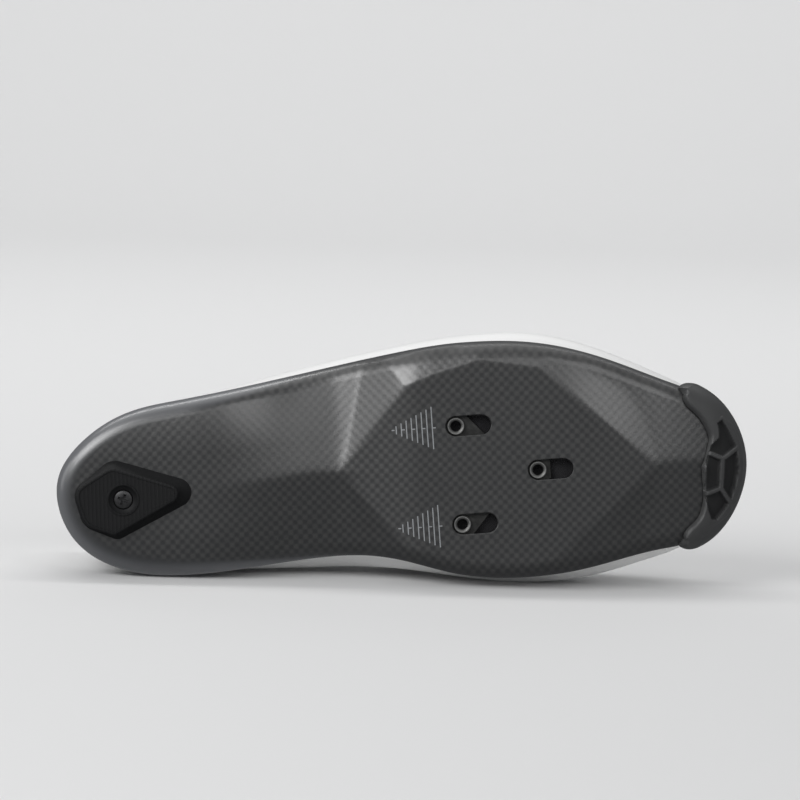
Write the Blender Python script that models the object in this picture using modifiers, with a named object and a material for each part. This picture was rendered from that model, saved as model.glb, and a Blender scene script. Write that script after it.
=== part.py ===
"""A right road cycling shoe, lying on its inner side with the sole facing -Y.

The shoe is worked out in its own frame and laid down at the end. In that frame x runs from the heel's back to
the toe, y points to the inner (medial) side, and z goes up from the heel pad's face. Lengths are in metres.
"""

import math

import bmesh
import bpy
import numpy as np
from mathutils import Matrix, Vector
from mathutils.bvhtree import BVHTree

# Driving sizes of the last and the sole
LENGTH = 0.2797
BALL_WIDTH = 0.0967
HEEL_WIDTH = 0.0700
COLLAR_HEIGHT = 0.0760
INSTEP_HEIGHT = 0.0915
CUP_HEIGHT = 0.0200
BULGE = 0.0050

# Heights of the sole's bottom above the heel pad's face
HEEL_UP = 0.0050
ARCH_UP = 0.0106
SEAT_UP = 0.0035
TOE_SPRING = 0.0165
STEP_UP = 0.0025
SIDE_RISE = 0.16
TOE_SIDE_RISE = 0.10
PLATFORM_SLOPE = 0.38

# Walls and clearances
FLOOR = 0.0026
RIM_WALL = 0.0018
UPPER_WALL = 0.0022
CURL_IN = 0.0065
CURL_UP = 0.0055
INNER_CURL_IN = 0.0035
INNER_CURL_UP = 0.0030
GAP = 0.0003
INSOLE_THICK = 0.0030

# Stations along the sole, as shares of LENGTH
HEEL_FRONT = 0.204
ARCH_TOP = 0.400
SEAT_REAR = 0.536
SEAT_FRONT = 0.740
KEEL_REAR = 0.190
SPINE_REAR = 0.130
SPINE_FRONT = 0.870

# Where a form grows from nothing to its full size, as shares of LENGTH
WIDENS = (0.15, 0.60)
STEP_GROWS = (0.42, 0.54)
STEP_ENDS = (0.90, 0.77)
SIDES_GROW = (0.19, 0.36)
SIDES_END = (0.56, 0.44)
TOE_SIDES_GROW = (0.77, 0.88)

# The keel's place across, as a share of BALL_WIDTH, and how round its ridge and the floor over it are
KEEL_ASIDE = 0.054
KEEL_ROUND = 0.0015
FLOOR_ROUND = 0.0060

# Lengths of the curve handles that shape the upper, as shares of the distance each curve covers
LOW_HANDLE = 0.35
WIDEST_HANDLE = 0.45
EDGE_HANDLE = 0.36
BRIDGE_HANDLE = 0.30

# Cleat hardware: three M5 threads on one sliding plate
CLEAT_AT = (0.1645, -0.0026)
CLEAT_TURN = math.radians(-2.1)
BOLT_ACROSS = 0.0401
BOLT_ALONG = 0.0322
SLOT_LENGTH = 0.0185
SLOT_WIDTH = 0.0082
BOSS_RADIUS = 0.00365
THREAD_RADIUS = 0.00245
PLATE_THICK = 0.0015
PLATE_CORNER = 0.0068
BOSS_BELOW = 0.0022

# Heel pad, its screw, and the toe pad
PAD_DRAFT = 0.0012
PAD_CHAMFER = 0.0006
SCREW_AT = (0.0276, 0.0028)
SCREW_HEAD_RADIUS = 0.00375
SCREW_HEAD_THICK = 0.0015
RECESS_REACH = 0.0022
RECESS_HALF_WIDTH = 0.0005
RECESS_FLOOR = 0.0005
RECESS_TURN = 0.4
SCREW_RADIUS = 0.0020
SCREW_BITE = 0.0020
SINK_RADIUS = 0.0055
SINK_DEPTH = 0.0029
TOE_PAD_THICK = 0.0030
TOE_CELL_FLOOR = 0.0012
TOE_PAD_UP = 0.82

# Tongue and straps; the tongue's reach and half width are shares of LENGTH and of the last's width
TONGUE_REAR = 0.440
TONGUE_FRONT = 0.745
TONGUE_SPREAD = 0.165
TONGUE_THICK = 0.0034
TONGUE_GAP = 0.0006
TONGUE_TAB = 0.0140
STRAP_THICK = 0.0018
STRAP_GAP = 0.0008
STRAP_WIDTH = 0.0240

# How the shoe lies: turned about its sole's normal, then rolled onto its inner side
LIE_YAW = math.radians(3.46)
LIE_ROLL = math.radians(4.74)

SPOKES = 84


class Section:
    """One station around the last, inner side first; shares of the sizes in each column's name."""

    columns = (
        "along_length", "across_width", "rim_cup", "out_bulge", "out_up_cup",
        "edge_along_length", "edge_across_width", "edge_collar", "edge_instep", "lean", "full",
    )
    rows = {
        "heel back":          (0.000, 0.000, 1.00, -0.05, 0.70, 0.026, 0.000, 1.000, 0.000, 0.12, 0.40),
        "heel corner inner":  (0.023, 0.269, 0.96, -0.10, 0.70, 0.040, 0.213, 0.985, 0.000, 0.10, 0.40),
        "heel inner":         (0.086, 0.446, 0.86, -0.22, 0.66, 0.089, 0.372, 0.900, 0.000, 0.04, 0.36),
        "waist rear inner":   (0.179, 0.497, 0.75, -0.25, 0.62, 0.168, 0.452, 0.800, 0.000, 0.04, 0.34),
        "waist inner":        (0.293, 0.429, 0.65, 0.38, 0.62, 0.257, 0.400, 0.865, 0.000, 0.16, 0.34),
        "arch inner":         (0.404, 0.347, 0.65, 1.05, 0.66, 0.340, 0.262, 0.740, 0.250, 0.42, 0.33),
        "waist front inner":  (0.497, 0.339, 0.62, 0.95, 0.62, 0.408, 0.178, 0.200, 0.800, 0.52, 0.33),
        "ball rear inner":    (0.579, 0.392, 0.60, 0.42, 0.58, 0.455, 0.132, 0.000, 0.995, 0.62, 0.29),
        "ball inner":         (0.669, 0.416, 0.60, 0.55, 0.56, 0.522, 0.112, 0.000, 0.925, 0.70, 0.27),
        "toes inner":         (0.769, 0.388, 0.60, 0.88, 0.52, 0.590, 0.098, 0.000, 0.835, 0.78, 0.25),
        "toe side inner":     (0.869, 0.325, 0.60, 0.85, 0.46, 0.650, 0.084, 0.000, 0.772, 0.85, 0.25),
        "toe corner inner":   (0.953, 0.253, 0.60, 0.20, 0.34, 0.694, 0.052, 0.000, 0.734, 0.92, 0.17),
        "toe tip":            (1.000, -0.016, 0.60, -0.10, 0.30, 0.712, -0.016, 0.000, 0.722, 0.96, 0.13),
        "toe corner outer":   (0.967, -0.279, 0.60, 0.20, 0.34, 0.694, -0.092, 0.000, 0.734, 0.92, 0.15),
        "toe side outer":     (0.894, -0.395, 0.60, 0.58, 0.44, 0.650, -0.130, 0.000, 0.768, 0.85, 0.20),
        "toes outer":         (0.794, -0.511, 0.60, 0.62, 0.48, 0.590, -0.148, 0.000, 0.828, 0.78, 0.22),
        "ball outer":         (0.690, -0.579, 0.60, 0.66, 0.50, 0.522, -0.162, 0.000, 0.910, 0.70, 0.27),
        "ball rear outer":    (0.590, -0.583, 0.60, 0.50, 0.54, 0.455, -0.180, 0.000, 0.985, 0.62, 0.28),
        "waist front outer":  (0.493, -0.567, 0.62, 0.42, 0.58, 0.405, -0.230, 0.200, 0.785, 0.52, 0.29),
        "arch outer":         (0.393, -0.556, 0.66, 0.40, 0.62, 0.337, -0.318, 0.740, 0.225, 0.42, 0.31),
        "waist outer":        (0.286, -0.547, 0.68, 0.20, 0.62, 0.255, -0.405, 0.825, 0.000, 0.20, 0.34),
        "waist rear outer":   (0.179, -0.517, 0.75, -0.10, 0.60, 0.168, -0.430, 0.765, 0.000, 0.10, 0.36),
        "heel outer":         (0.089, -0.430, 0.86, -0.15, 0.62, 0.089, -0.358, 0.880, 0.000, 0.08, 0.36),
        "heel corner outer":  (0.023, -0.232, 0.96, -0.10, 0.70, 0.040, -0.200, 0.980, 0.000, 0.10, 0.40),
    }


# The raised cleat platform's corners, as shares of LENGTH and BALL_WIDTH, in order round it
PLATFORM = (
    ("rear apex", 0.413, -0.056),
    ("outer rear", 0.513, -0.412),
    ("outer rear bend", 0.557, -0.461),
    ("outer side", 0.623, -0.514),
    ("outer front", 0.709, -0.470),
    ("front apex", 0.878, -0.042),
    ("inner front", 0.729, 0.338),
    ("inner front bend", 0.691, 0.378),
    ("inner side", 0.612, 0.386),
    ("inner rear", 0.538, 0.333),
    ("inner rear bend", 0.506, 0.268),
    ("inner rear toward apex", 0.470, 0.144),
)

# The heel pad's corner circles: shares of HEEL_WIDTH forward, to the inner side and in radius. The sides slope
# unevenly, so each circle of the face lies back, to the inner side and is smaller by a number of PAD_DRAFTs
HEEL_PAD = (
    ("rear outer", 0.210, 0.020, 0.100, 0.0, 0.1, 0.7),
    ("rear inner", 0.255, 0.105, 0.120, 0.0, 0.0, 0.8),
    ("outer", 0.350, -0.075, 0.110, 0.6, 1.1, 1.3),
    ("tip", 0.722, 0.012, 0.052, 2.6, 0.3, 1.75),
    ("inner", 0.352, 0.205, 0.066, 1.0, -0.2, 1.4),
)

# One half of the nut plate's outline: shares of BOLT_ALONG forward and of BOLT_ACROSS aside, then how many
# PLATE_CORNERs further forward and aside
PLATE_OUTLINE = (
    ("rear corner", 0.0, 0.5, -0.93, 0.33),
    ("rear bend", 0.0, 0.5, -0.59, 0.83),
    ("side", 0.0, 0.5, 0.19, 0.92),
    ("shoulder", 0.0, 0.5, 0.66, 0.60),
    ("waist", 0.59, 0.0, 0.0, 1.15),
    ("neck", 0.69, 0.0, 0.0, 0.90),
    ("front corner", 1.0, 0.0, 0.28, 0.82),
    ("front bend", 1.0, 0.0, 0.78, 0.53),
)

# Cells sunk in the toe pad: their turns round the outline, and shares of the pad's reach in from it
TOE_CELLS = (
    ("outer", 12.22, 12.70, 0.22, 0.80),
    ("front", 11.68, 12.17, 0.18, 0.42),
    ("rear", 11.68, 12.17, 0.50, 0.86),
    ("inner", 11.24, 11.63, 0.22, 0.80),
)

# How far the toe pad reaches in from the toe's outline, from its outer arm to its inner arm
TOE_PAD = (
    ("outer arm's end", 13.72, 0.0040),
    ("outer arm", 13.40, 0.0066),
    ("outer corner", 13.00, 0.0086),
    ("outer cusp", 12.62, 0.0100),
    ("outer middle", 12.35, 0.0135),
    ("middle", 12.00, 0.0163),
    ("inner middle", 11.70, 0.0150),
    ("inner cusp", 11.35, 0.0110),
    ("inner corner", 11.05, 0.0082),
    ("inner arm", 10.72, 0.0056),
    ("inner arm's end", 10.45, 0.0036),
)

# Straps: where their middle crosses the throat as a share of LENGTH, slant, and the two ends' angles
STRAPS = {
    "strap_front": (0.640, math.radians(10), math.radians(-80), math.radians(62)),
    "strap_rear": (0.500, math.radians(8), math.radians(-76), math.radians(60)),
}
STRAP_AXIS = (-0.03, 0.36)


def smooth(share):
    """Smoothstep of a share, held at 0 and 1."""
    t = np.clip(share, 0.0, 1.0)
    return t * t * (3.0 - 2.0 * t)


def grown_by(x, span):
    """0 before a span of shares of LENGTH and 1 past it; a span written backwards falls from 1 to 0."""
    start, end = span
    return smooth((x / LENGTH - start) / (end - start))


def width_at(x):
    """The last's width, from the heel's to the ball's."""
    return HEEL_WIDTH + (BALL_WIDTH - HEEL_WIDTH) * grown_by(x, WIDENS)


def around(column, turns):
    """A column of the section table, read at any place round the last by a closed cubic B-spline."""
    values = np.array([row[Section.columns.index(column)] for row in Section.rows.values()])
    count = len(values)
    eye = np.eye(count)
    blend = (4.0 * eye + np.roll(eye, 1, axis=1) + np.roll(eye, -1, axis=1)) / 6.0
    control = np.linalg.solve(blend, values)
    first = np.floor(turns).astype(int)
    t = turns - first
    weights = ((1 - t) ** 3, 3 * t**3 - 6 * t**2 + 4, -3 * t**3 + 3 * t**2 + 3 * t + 1, t**3)
    return sum(w * control[(first + k - 1) % count] for k, w in enumerate(weights)) / 6.0


def spine_up(x):
    """Height of the sole's bottom along its middle: heel, arch, flat cleat seat and toe spring."""
    arch = (ARCH_UP - SEAT_UP) * grown_by(x, (SEAT_REAR, ARCH_TOP))
    heel = (HEEL_UP - ARCH_UP) * grown_by(x, (ARCH_TOP, HEEL_FRONT))
    ahead = np.clip((x / LENGTH - SEAT_FRONT) / (1.0 - SEAT_FRONT), 0.0, None)
    return SEAT_UP + arch + heel + TOE_SPRING * ahead**2


def keel_across(x):
    """The keel's own line, which drifts to the outer side from the heel pad to the platform."""
    return -KEEL_ASIDE * BALL_WIDTH * grown_by(x, (KEEL_REAR, ARCH_TOP))


def keel_up(x, y, round_off):
    """The surface that the platform stands on: a keel in the arch, a low ridge in front, flat at the heel."""
    step = STEP_UP * grown_by(x, STEP_GROWS) * grown_by(x, STEP_ENDS)
    rise = SIDE_RISE * grown_by(x, SIDES_GROW) * grown_by(x, SIDES_END)
    rise = rise + TOE_SIDE_RISE * grown_by(x, TOE_SIDES_GROW)
    aside = np.sqrt((y - keel_across(x)) ** 2 + round_off**2) - round_off
    return spine_up(x) + step + rise * aside


def outside_platform(x, y):
    """Distance out of the platform's outline, negative inside it; its corners run counter-clockwise."""
    corners = [(a * LENGTH, b * BALL_WIDTH) for _, a, b in PLATFORM]
    far = None
    for (ax, ay), (bx, by) in zip(corners, corners[1:] + corners[:1]):
        run = math.hypot(bx - ax, by - ay)
        out = ((x - ax) * (by - ay) - (y - ay) * (bx - ax)) / run
        far = out if far is None else np.maximum(far, out)
    return far


def bottom_up(x, y):
    """The carbon's bottom before its edge curls up: the platform cut from the keeled surface."""
    outside = np.maximum(outside_platform(x, y), 0.0)
    return np.minimum(spine_up(x) + PLATFORM_SLOPE * outside, keel_up(x, y, KEEL_ROUND))


def floor_up(x, y):
    """The sole's inner floor."""
    return keel_up(x, y, FLOOR_ROUND) + FLOOR


class Outline:
    """Points round the sole's edge, with outward normals and the spine's point that each faces."""

    def __init__(self, turns):
        self.turns = turns
        self.x, self.y = self.place(turns)
        step = 1e-3
        ahead, behind = self.place(turns + step), self.place(turns - step)
        tx, ty = ahead[0] - behind[0], ahead[1] - behind[1]
        size = np.hypot(tx, ty)
        self.nx, self.ny = -ty / size, tx / size
        across = (self.nx * (self.x - 0.5 * LENGTH) + self.ny * self.y).mean()
        if across < 0:
            self.nx, self.ny = -self.nx, -self.ny
        mirror_x, _ = self.place(len(Section.rows) - turns)
        self.spine_x = np.clip(0.5 * (self.x + mirror_x), SPINE_REAR * LENGTH, SPINE_FRONT * LENGTH)
        self.spine_y = keel_across(self.spine_x)
        self.foot = bottom_up(self.x, self.y) + CURL_UP
        ahead = np.clip(self.x / LENGTH - SEAT_FRONT, 0.0, None)
        self.spring = 2.0 * TOE_SPRING * ahead / (1.0 - SEAT_FRONT) ** 2 / LENGTH

    def leaned(self, x, y, z):
        """A ring at these heights, tipped back over the toe so that the walls stand square to the toe spring."""
        above = np.maximum(z - self.foot, 0.0)
        return ring(x - self.spring * above, y, z)

    @staticmethod
    def place(turns):
        x = around("along_length", turns) * LENGTH
        return x, around("across_width", turns) * width_at(x)

    def inset(self, distance):
        return self.x - distance * self.nx, self.y - distance * self.ny

    def toward_spine(self, distance, share):
        """A ring between the spine, at 0, and the line that lies inside the outline, at 1."""
        x, y = self.inset(distance)
        return self.spine_x + (x - self.spine_x) * share, self.spine_y + (y - self.spine_y) * share

    def rim_up(self):
        return spine_up(self.x) + around("rim_cup", self.turns) * CUP_HEIGHT

    def column(self, name):
        return around(name, self.turns)


def ring(x, y, z):
    return np.stack([x, y, np.broadcast_to(z, x.shape)], axis=-1)


def curled(inset):
    """How far the sole's edge curls up at a distance inside its outline."""
    out = np.clip(1.0 - inset / CURL_IN, 0.0, 1.0)
    return CURL_UP * (1.0 - np.sqrt(1.0 - out**2))


def sole_outer(edge, shares):
    """Rings of the sole's outer skin, from the spine out over the curled edge to the rim's top."""
    rings = []
    for share in shares:
        x, y = edge.toward_spine(CURL_IN, share)
        rings.append(ring(x, y, bottom_up(x, y)))
    for turn in (0.35, 0.7, 1.0):
        inset = CURL_IN * (1 - math.sin(turn * math.pi / 2))
        x, y = edge.inset(inset)
        rings.append(ring(x, y, bottom_up(x, y) + curled(inset)))
    for share in (0.5, 1.0):
        rings.append(edge.leaned(edge.x, edge.y, edge.foot + (edge.rim_up() - edge.foot) * share))
    return rings


def sole_inner(edge, shares):
    """Rings of the sole's inner skin, from the rim's top down the wall and over the floor to the spine."""
    x, y = edge.inset(RIM_WALL)
    foot = floor_up(*edge.inset(RIM_WALL)) + INNER_CURL_UP
    top = edge.rim_up()
    rings = [edge.leaned(x, y, top), edge.leaned(x, y, 0.5 * (foot + top))]
    for turn in (1.0, 0.6, 0.3):
        angle = turn * math.pi / 2
        x, y = edge.inset(RIM_WALL + INNER_CURL_IN * (1 - math.sin(angle)))
        rings.append(edge.leaned(x, y, floor_up(x, y) + INNER_CURL_UP * (1 - math.cos(angle))))
    for share in shares:
        x, y = edge.toward_spine(RIM_WALL + INNER_CURL_IN, share)
        rings.append(ring(x, y, floor_up(x, y)))
    return rings


def bezier(a, b, c, d, t):
    return (1 - t) ** 3 * a + 3 * (1 - t) ** 2 * t * b + 3 * (1 - t) * t**2 * c + t**3 * d


def upper_outer(edge, low_shares, high_shares):
    """Rings of the upper's outer skin, from its feather edge inside the rim to the collar and throat."""
    x, y = edge.inset(RIM_WALL + GAP)
    feather = floor_up(*edge.inset(RIM_WALL)) + INNER_CURL_UP + GAP
    rim = edge.rim_up() + GAP
    rings = [edge.leaned(x, y, feather), edge.leaned(x, y, rim)]
    start = rings[-1]
    out_x, out_y = edge.inset(-edge.column("out_bulge") * BULGE)
    widest = edge.leaned(out_x, out_y, rim + edge.column("out_up_cup") * CUP_HEIGHT)
    opening_x = edge.column("edge_along_length") * LENGTH
    opening = ring(
        opening_x,
        edge.column("edge_across_width") * width_at(opening_x),
        edge.column("edge_collar") * COLLAR_HEIGHT + edge.column("edge_instep") * INSTEP_HEIGHT,
    )
    up = np.array([0.0, 0.0, 1.0])
    lift = (widest[:, 2] - start[:, 2])[:, None] * up
    for t in low_shares:
        rings.append(bezier(start, start + LOW_HANDLE * lift, widest - WIDEST_HANDLE * lift, widest, t))
    reach = opening - widest
    size = np.linalg.norm(reach, axis=1)[:, None]
    level = reach * np.array([1.0, 1.0, 0.0])
    level = level / np.linalg.norm(level, axis=1)[:, None]
    lean = edge.column("lean")[:, None]
    arrive = (1 - lean) * up + lean * level
    arrive = arrive / np.linalg.norm(arrive, axis=1)[:, None]
    swell = widest + edge.column("full")[:, None] * size * up
    for t in high_shares:
        rings.append(bezier(widest, swell, opening - EDGE_HANDLE * size * arrive, opening, t))
    return rings


def bridge(edge, sections, columns):
    """Rows over the throat, each an arch from the outer facing to the inner one."""
    count = len(Section.rows)
    inner, outer = Outline(np.array(sections)), Outline(count - np.array(sections))
    rows = []
    skins = [upper_outer(side, (1.0,), (0.9, 1.0)) for side in (outer, inner)]
    (before_a, a), (before_b, b) = [skin[-2:] for skin in skins]
    handle = BRIDGE_HANDLE * np.linalg.norm(b - a, axis=1)[:, None]
    leave_a = (a - before_a) / np.linalg.norm(a - before_a, axis=1)[:, None]
    leave_b = (b - before_b) / np.linalg.norm(b - before_b, axis=1)[:, None]
    for t in columns:
        rows.append(bezier(a, a + handle * leave_a, b + handle * leave_b, b, t))
    return np.stack(rows)


def quads(rows, columns, closed, start=0):
    """Faces of a grid of points that are stored row by row."""
    faces = []
    last = columns if closed else columns - 1
    for r in range(rows - 1):
        for c in range(last):
            d = (c + 1) % columns
            faces.append((start + r * columns + c, start + r * columns + d,
                          start + (r + 1) * columns + d, start + (r + 1) * columns + c))
    return faces


def add_mesh(name, points, faces, finish, merge=True):
    """A new object in the shoe's collection, its doubles merged and its faces turned out."""
    mesh = bpy.data.meshes.new(name)
    mesh.from_pydata([tuple(p) for p in points], [], faces)
    work = bmesh.new()
    work.from_mesh(mesh)
    if merge:
        bmesh.ops.remove_doubles(work, verts=work.verts, dist=2e-6)
        bmesh.ops.dissolve_degenerate(work, dist=2e-6, edges=work.edges)
        bmesh.ops.recalc_face_normals(work, faces=work.faces)
    work.to_mesh(mesh)
    work.free()
    item = bpy.data.objects.new(name, mesh)
    PARTS.objects.link(item)
    item.parent = SHOE
    if finish is not None:
        mesh.materials.append(finish)
        mesh.shade_smooth()
        mesh.set_sharp_from_angle(angle=math.radians(35))
    return item


def lofted(name, rings, finish):
    """A closed solid through closed rings, whose first and last rings fold flat onto a line."""
    points = np.concatenate(rings)
    return add_mesh(name, points, quads(len(rings), len(rings[0]), True), finish)


def slab(name, lower, upper, finish):
    """A closed solid between two open grids of the same size."""
    rows, columns = lower.shape[:2]
    count = rows * columns
    points = np.concatenate([lower.reshape(-1, 3), upper.reshape(-1, 3)])
    faces = quads(rows, columns, False) + [tuple(reversed(f)) for f in quads(rows, columns, False, count)]
    rim = list(range(columns))
    rim += [r * columns + columns - 1 for r in range(1, rows)]
    rim += [(rows - 1) * columns + c for c in range(columns - 2, -1, -1)]
    rim += [r * columns for r in range(rows - 2, 0, -1)]
    for a, b in zip(rim, rim[1:] + rim[:1]):
        faces.append((b, a, a + count, b + count))
    return add_mesh(name, points, faces, finish)


def stretched_round(circles, steps):
    """The outline stretched round some circles, each (x, y, radius), with one corner for each direction."""
    points = []
    for k in range(steps):
        c, s = math.cos(math.tau * k / steps), math.sin(math.tau * k / steps)
        x, y, radius = max(circles, key=lambda item: item[0] * c + item[1] * s + item[2])
        points.append((x + radius * c, y + radius * s))
    return points


def stacked(name, loops, finish):
    """A closed solid through level loops of the same count, each (points, height), with flat ends."""
    count = len(loops[0][0])
    points = [(x, y, z) for loop, z in loops for x, y in loop]
    faces = quads(len(loops), count, True)
    faces.append(tuple(range(count)))
    faces.append(tuple(range(len(points) - count, len(points))))
    return add_mesh(name, points, faces, finish)


def circle(center, radius, steps=20):
    return [(center[0] + radius * math.cos(math.tau * k / steps),
             center[1] + radius * math.sin(math.tau * k / steps)) for k in range(steps)]


def cleat_point(along, across):
    """A place in the cleat's own axes: along its slots from the rear threads' line, and across to the inner side."""
    c, s = math.cos(CLEAT_TURN), math.sin(CLEAT_TURN)
    return CLEAT_AT[0] + c * along - s * across, CLEAT_AT[1] + s * along + c * across


THREADS = ((0.0, -BOLT_ACROSS / 2), (BOLT_ALONG, 0.0), (0.0, BOLT_ACROSS / 2))
TRAVEL = SLOT_LENGTH - SLOT_WIDTH
POCKET_UP = SEAT_UP + FLOOR
PLATE_UP = POCKET_UP + GAP


def cut(item, cutter):
    """A live Boolean difference."""
    modifier = item.modifiers.new("cut " + cutter.name, "BOOLEAN")
    modifier.operation = "DIFFERENCE"
    modifier.solver = "EXACT"
    modifier.object = cutter


def join(item, other):
    """A live Boolean union with a shape that stays out of the build."""
    modifier = item.modifiers.new("join " + other.name, "BOOLEAN")
    modifier.operation = "UNION"
    modifier.solver = "EXACT"
    modifier.object = other


def as_tool(item):
    """Keeps a shape in the collection of cutters, drawn as wires and left out of the build."""
    PARTS.objects.unlink(item)
    TOOLS.objects.link(item)
    item.hide_render = True
    item.display_type = "WIRE"
    return item


def finish(name, color, roughness, metallic=0.0):
    material = bpy.data.materials.new(name)
    material.use_nodes = True
    shader = material.node_tree.nodes["Principled BSDF"]
    shader.inputs["Base Color"].default_value = (*color, 1.0)
    shader.inputs["Roughness"].default_value = roughness
    shader.inputs["Metallic"].default_value = metallic
    return material


def make_sole(edge):
    """Carbon shell: keeled arch, raised cleat platform, curled rim, three slots and the plate's pocket."""
    shares = (0.0, 0.18, 0.36, 0.52, 0.67, 0.80, 0.91, 1.0)
    rings = sole_outer(edge, shares) + sole_inner(edge, (1.0, 0.75, 0.45, 0.0))
    sole = lofted("sole", rings, finish("carbon", (0.045, 0.047, 0.048), 0.35))
    around_plate = [cleat_point(a, b) for a, b in THREADS]
    around_plate += [cleat_point(a + TRAVEL, b) for a, b in THREADS]
    pocket = stretched_round([(x, y, PLATE_CORNER + 2 * GAP) for x, y in around_plate], 20)
    cutters = [stacked("pocket cutter", [(pocket, POCKET_UP), (pocket, POCKET_UP + CUP_HEIGHT)], None)]
    for number, (a, b) in enumerate(THREADS, start=1):
        ends = [cleat_point(a, b), cleat_point(a + TRAVEL, b)]
        slot = stretched_round([(x, y, SLOT_WIDTH / 2) for x, y in ends], 16)
        cutters.append(stacked(f"slot cutter {number}", [(slot, -SEAT_UP), (slot, POCKET_UP + FLOOR)], None))
    thread = circle(SCREW_AT, SCREW_RADIUS + GAP, 16)
    cutters.append(stacked("screw hole cutter", [(thread, 0.0), (thread, HEEL_UP + SCREW_BITE + GAP)], None))
    for cutter in cutters:
        cut(sole, as_tool(cutter))
    return sole


def make_upper(edge):
    """One hollow shell on the last's form, its wall inside this skin."""
    skin = upper_outer(edge, (0.5, 1.0), (0.14, 0.28, 0.42, 0.56, 0.70, 0.85, 1.0))
    points = np.concatenate(skin)
    upper = add_mesh("upper", points, quads(len(skin), len(skin[0]), True),
                     finish("white microfibre", (0.82, 0.82, 0.81), 0.5))
    wall = upper.modifiers.new("wall", "SOLIDIFY")
    wall.thickness = UPPER_WALL
    wall.offset = -1.0
    wall.use_even_offset = True
    return upper


def make_insole(edge):
    """A thin footbed on the sole's floor, inside the upper's wall."""
    rings = []
    for up, shares in ((GAP, (0.0, 0.5, 1.0)), (GAP + INSOLE_THICK, (1.0, 0.5, 0.0))):
        for share in shares:
            x, y = edge.toward_spine(RIM_WALL + UPPER_WALL + 3 * GAP, share)
            rings.append(ring(x, y, floor_up(x, y) + up))
    return lofted("insole", rings, finish("footbed cloth", (0.05, 0.05, 0.055), 0.9))


def last_surface(edge):
    """The upper's outer form with the throat bridged over, for laying the tongue and straps on."""
    skin = upper_outer(edge, (1.0,), np.linspace(0.08, 1.0, 12))[2:]
    points = np.concatenate(skin)
    faces = quads(len(skin), len(skin[0]), True)
    over = bridge(edge, np.linspace(4.5, 11.9, 30), np.linspace(0.0, 1.0, 13))
    faces += quads(over.shape[0], over.shape[1], False, len(points))
    points = np.concatenate([points, over.reshape(-1, 3)])
    return BVHTree.FromPolygons([Vector(p) for p in points], faces)


def laid(tree, start, direction):
    """Where a line from outside first meets the last, and the outward normal there."""
    place, normal, _, _ = tree.ray_cast(Vector(start), Vector(direction))
    if normal.dot(Vector(direction)) > 0:
        normal = -normal
    return place, normal


def make_tongue(tree):
    """A padded sheet under the throat, its free end standing above the facings."""
    rows = []
    for x in np.linspace(TONGUE_FRONT, TONGUE_REAR, 12) * LENGTH:
        spread = TONGUE_SPREAD * width_at(x)
        middle = 0.5 * (around("edge_across_width", np.array([9.0, 15.0])).sum()) * width_at(x)
        row = []
        for share in np.linspace(-1.0, 1.0, 9):
            place, normal = laid(tree, (x, middle + share * spread, 2 * INSTEP_HEIGHT), (0, 0, -1))
            top = place - normal * (UPPER_WALL + TONGUE_GAP)
            row.append((top, top - normal * TONGUE_THICK))
        rows.append(row)
    rows = np.array(rows)
    run = rows[-1] - rows[-3]
    run = run / np.linalg.norm(run, axis=-1)[..., None]
    tab = rows[-1] + run * TONGUE_TAB
    both = np.concatenate([rows, [0.5 * (rows[-1] + tab)], [tab]])
    return slab("tongue", both[:, :, 1], both[:, :, 0], finish("tongue cloth", (0.78, 0.78, 0.77), 0.7))


def make_strap(tree, name):
    """A flat strap laid over the last across the throat."""
    across, slant, outer_end, inner_end = STRAPS[name]
    rows = []
    middle = Vector((across * LENGTH, STRAP_AXIS[0] * BALL_WIDTH, STRAP_AXIS[1] * INSTEP_HEIGHT))
    lean = math.tan(slant)
    for share in np.linspace(-0.5, 0.5, 5):
        row = []
        for angle in np.linspace(outer_end, inner_end, 32):
            ray = Vector((lean * math.sin(angle), math.sin(angle), math.cos(angle)))
            axis_point = middle + Vector((share * STRAP_WIDTH, 0, 0))
            place, normal = laid(tree, axis_point + ray * LENGTH, -ray)
            row.append((place + normal * STRAP_GAP, place + normal * (STRAP_GAP + STRAP_THICK)))
        rows.append(row)
    both = np.array(rows)
    return slab(name, both[:, :, 0], both[:, :, 1], finish(name + " webbing", (0.80, 0.80, 0.79), 0.55))


def pad_skin(turns, shares, walls=()):
    """The sole's skin under the toe pad, with its normals: rows at shares of the pad's reach, then up the wall."""
    edge = Outline(turns)
    reach = np.interp(turns, [row[1] for row in reversed(TOE_PAD)], [row[2] for row in reversed(TOE_PAD)])
    rows = []
    for share in shares:
        x, y = edge.inset(reach * share)
        rows.append(ring(x, y, bottom_up(x, y) + curled(reach * share)))
    for share in walls:
        rows.append(edge.leaned(edge.x, edge.y, edge.foot + (edge.rim_up() - edge.foot) * share))
    skin = np.stack(rows)
    normal = np.cross(np.gradient(skin, axis=1), np.gradient(skin, axis=0))
    normal = normal / np.linalg.norm(normal, axis=2)[:, :, None]
    return skin, -normal if normal[0, len(turns) // 2, 2] > 0 else normal


def make_toe_pad():
    """Rubber bumper wrapped over the toe's curl and wall from arm to arm, with four sunk cells between ribs."""
    shares = (1.0, 0.75, 0.52, 0.35, 0.2, 0.1, 0.03, 0.0)
    skin, normal = pad_skin(np.linspace(TOE_PAD[0][1], TOE_PAD[-1][1], 21), shares, (0.4, TOE_PAD_UP))
    pad = slab("toe_pad", skin + GAP * normal, skin + (GAP + TOE_PAD_THICK) * normal,
               finish("bumper rubber", (0.050, 0.052, 0.053), 0.6))
    for name, first, last, near, far in TOE_CELLS:
        skin, normal = pad_skin(np.linspace(first, last, 5), np.linspace(far, near, 4))
        floor, mouth = (skin + (GAP + up) * normal for up in (TOE_CELL_FLOOR, 2 * TOE_PAD_THICK))
        cut(pad, as_tool(slab(f"toe cell cutter {name}", floor, mouth, None)))
    return pad


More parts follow.
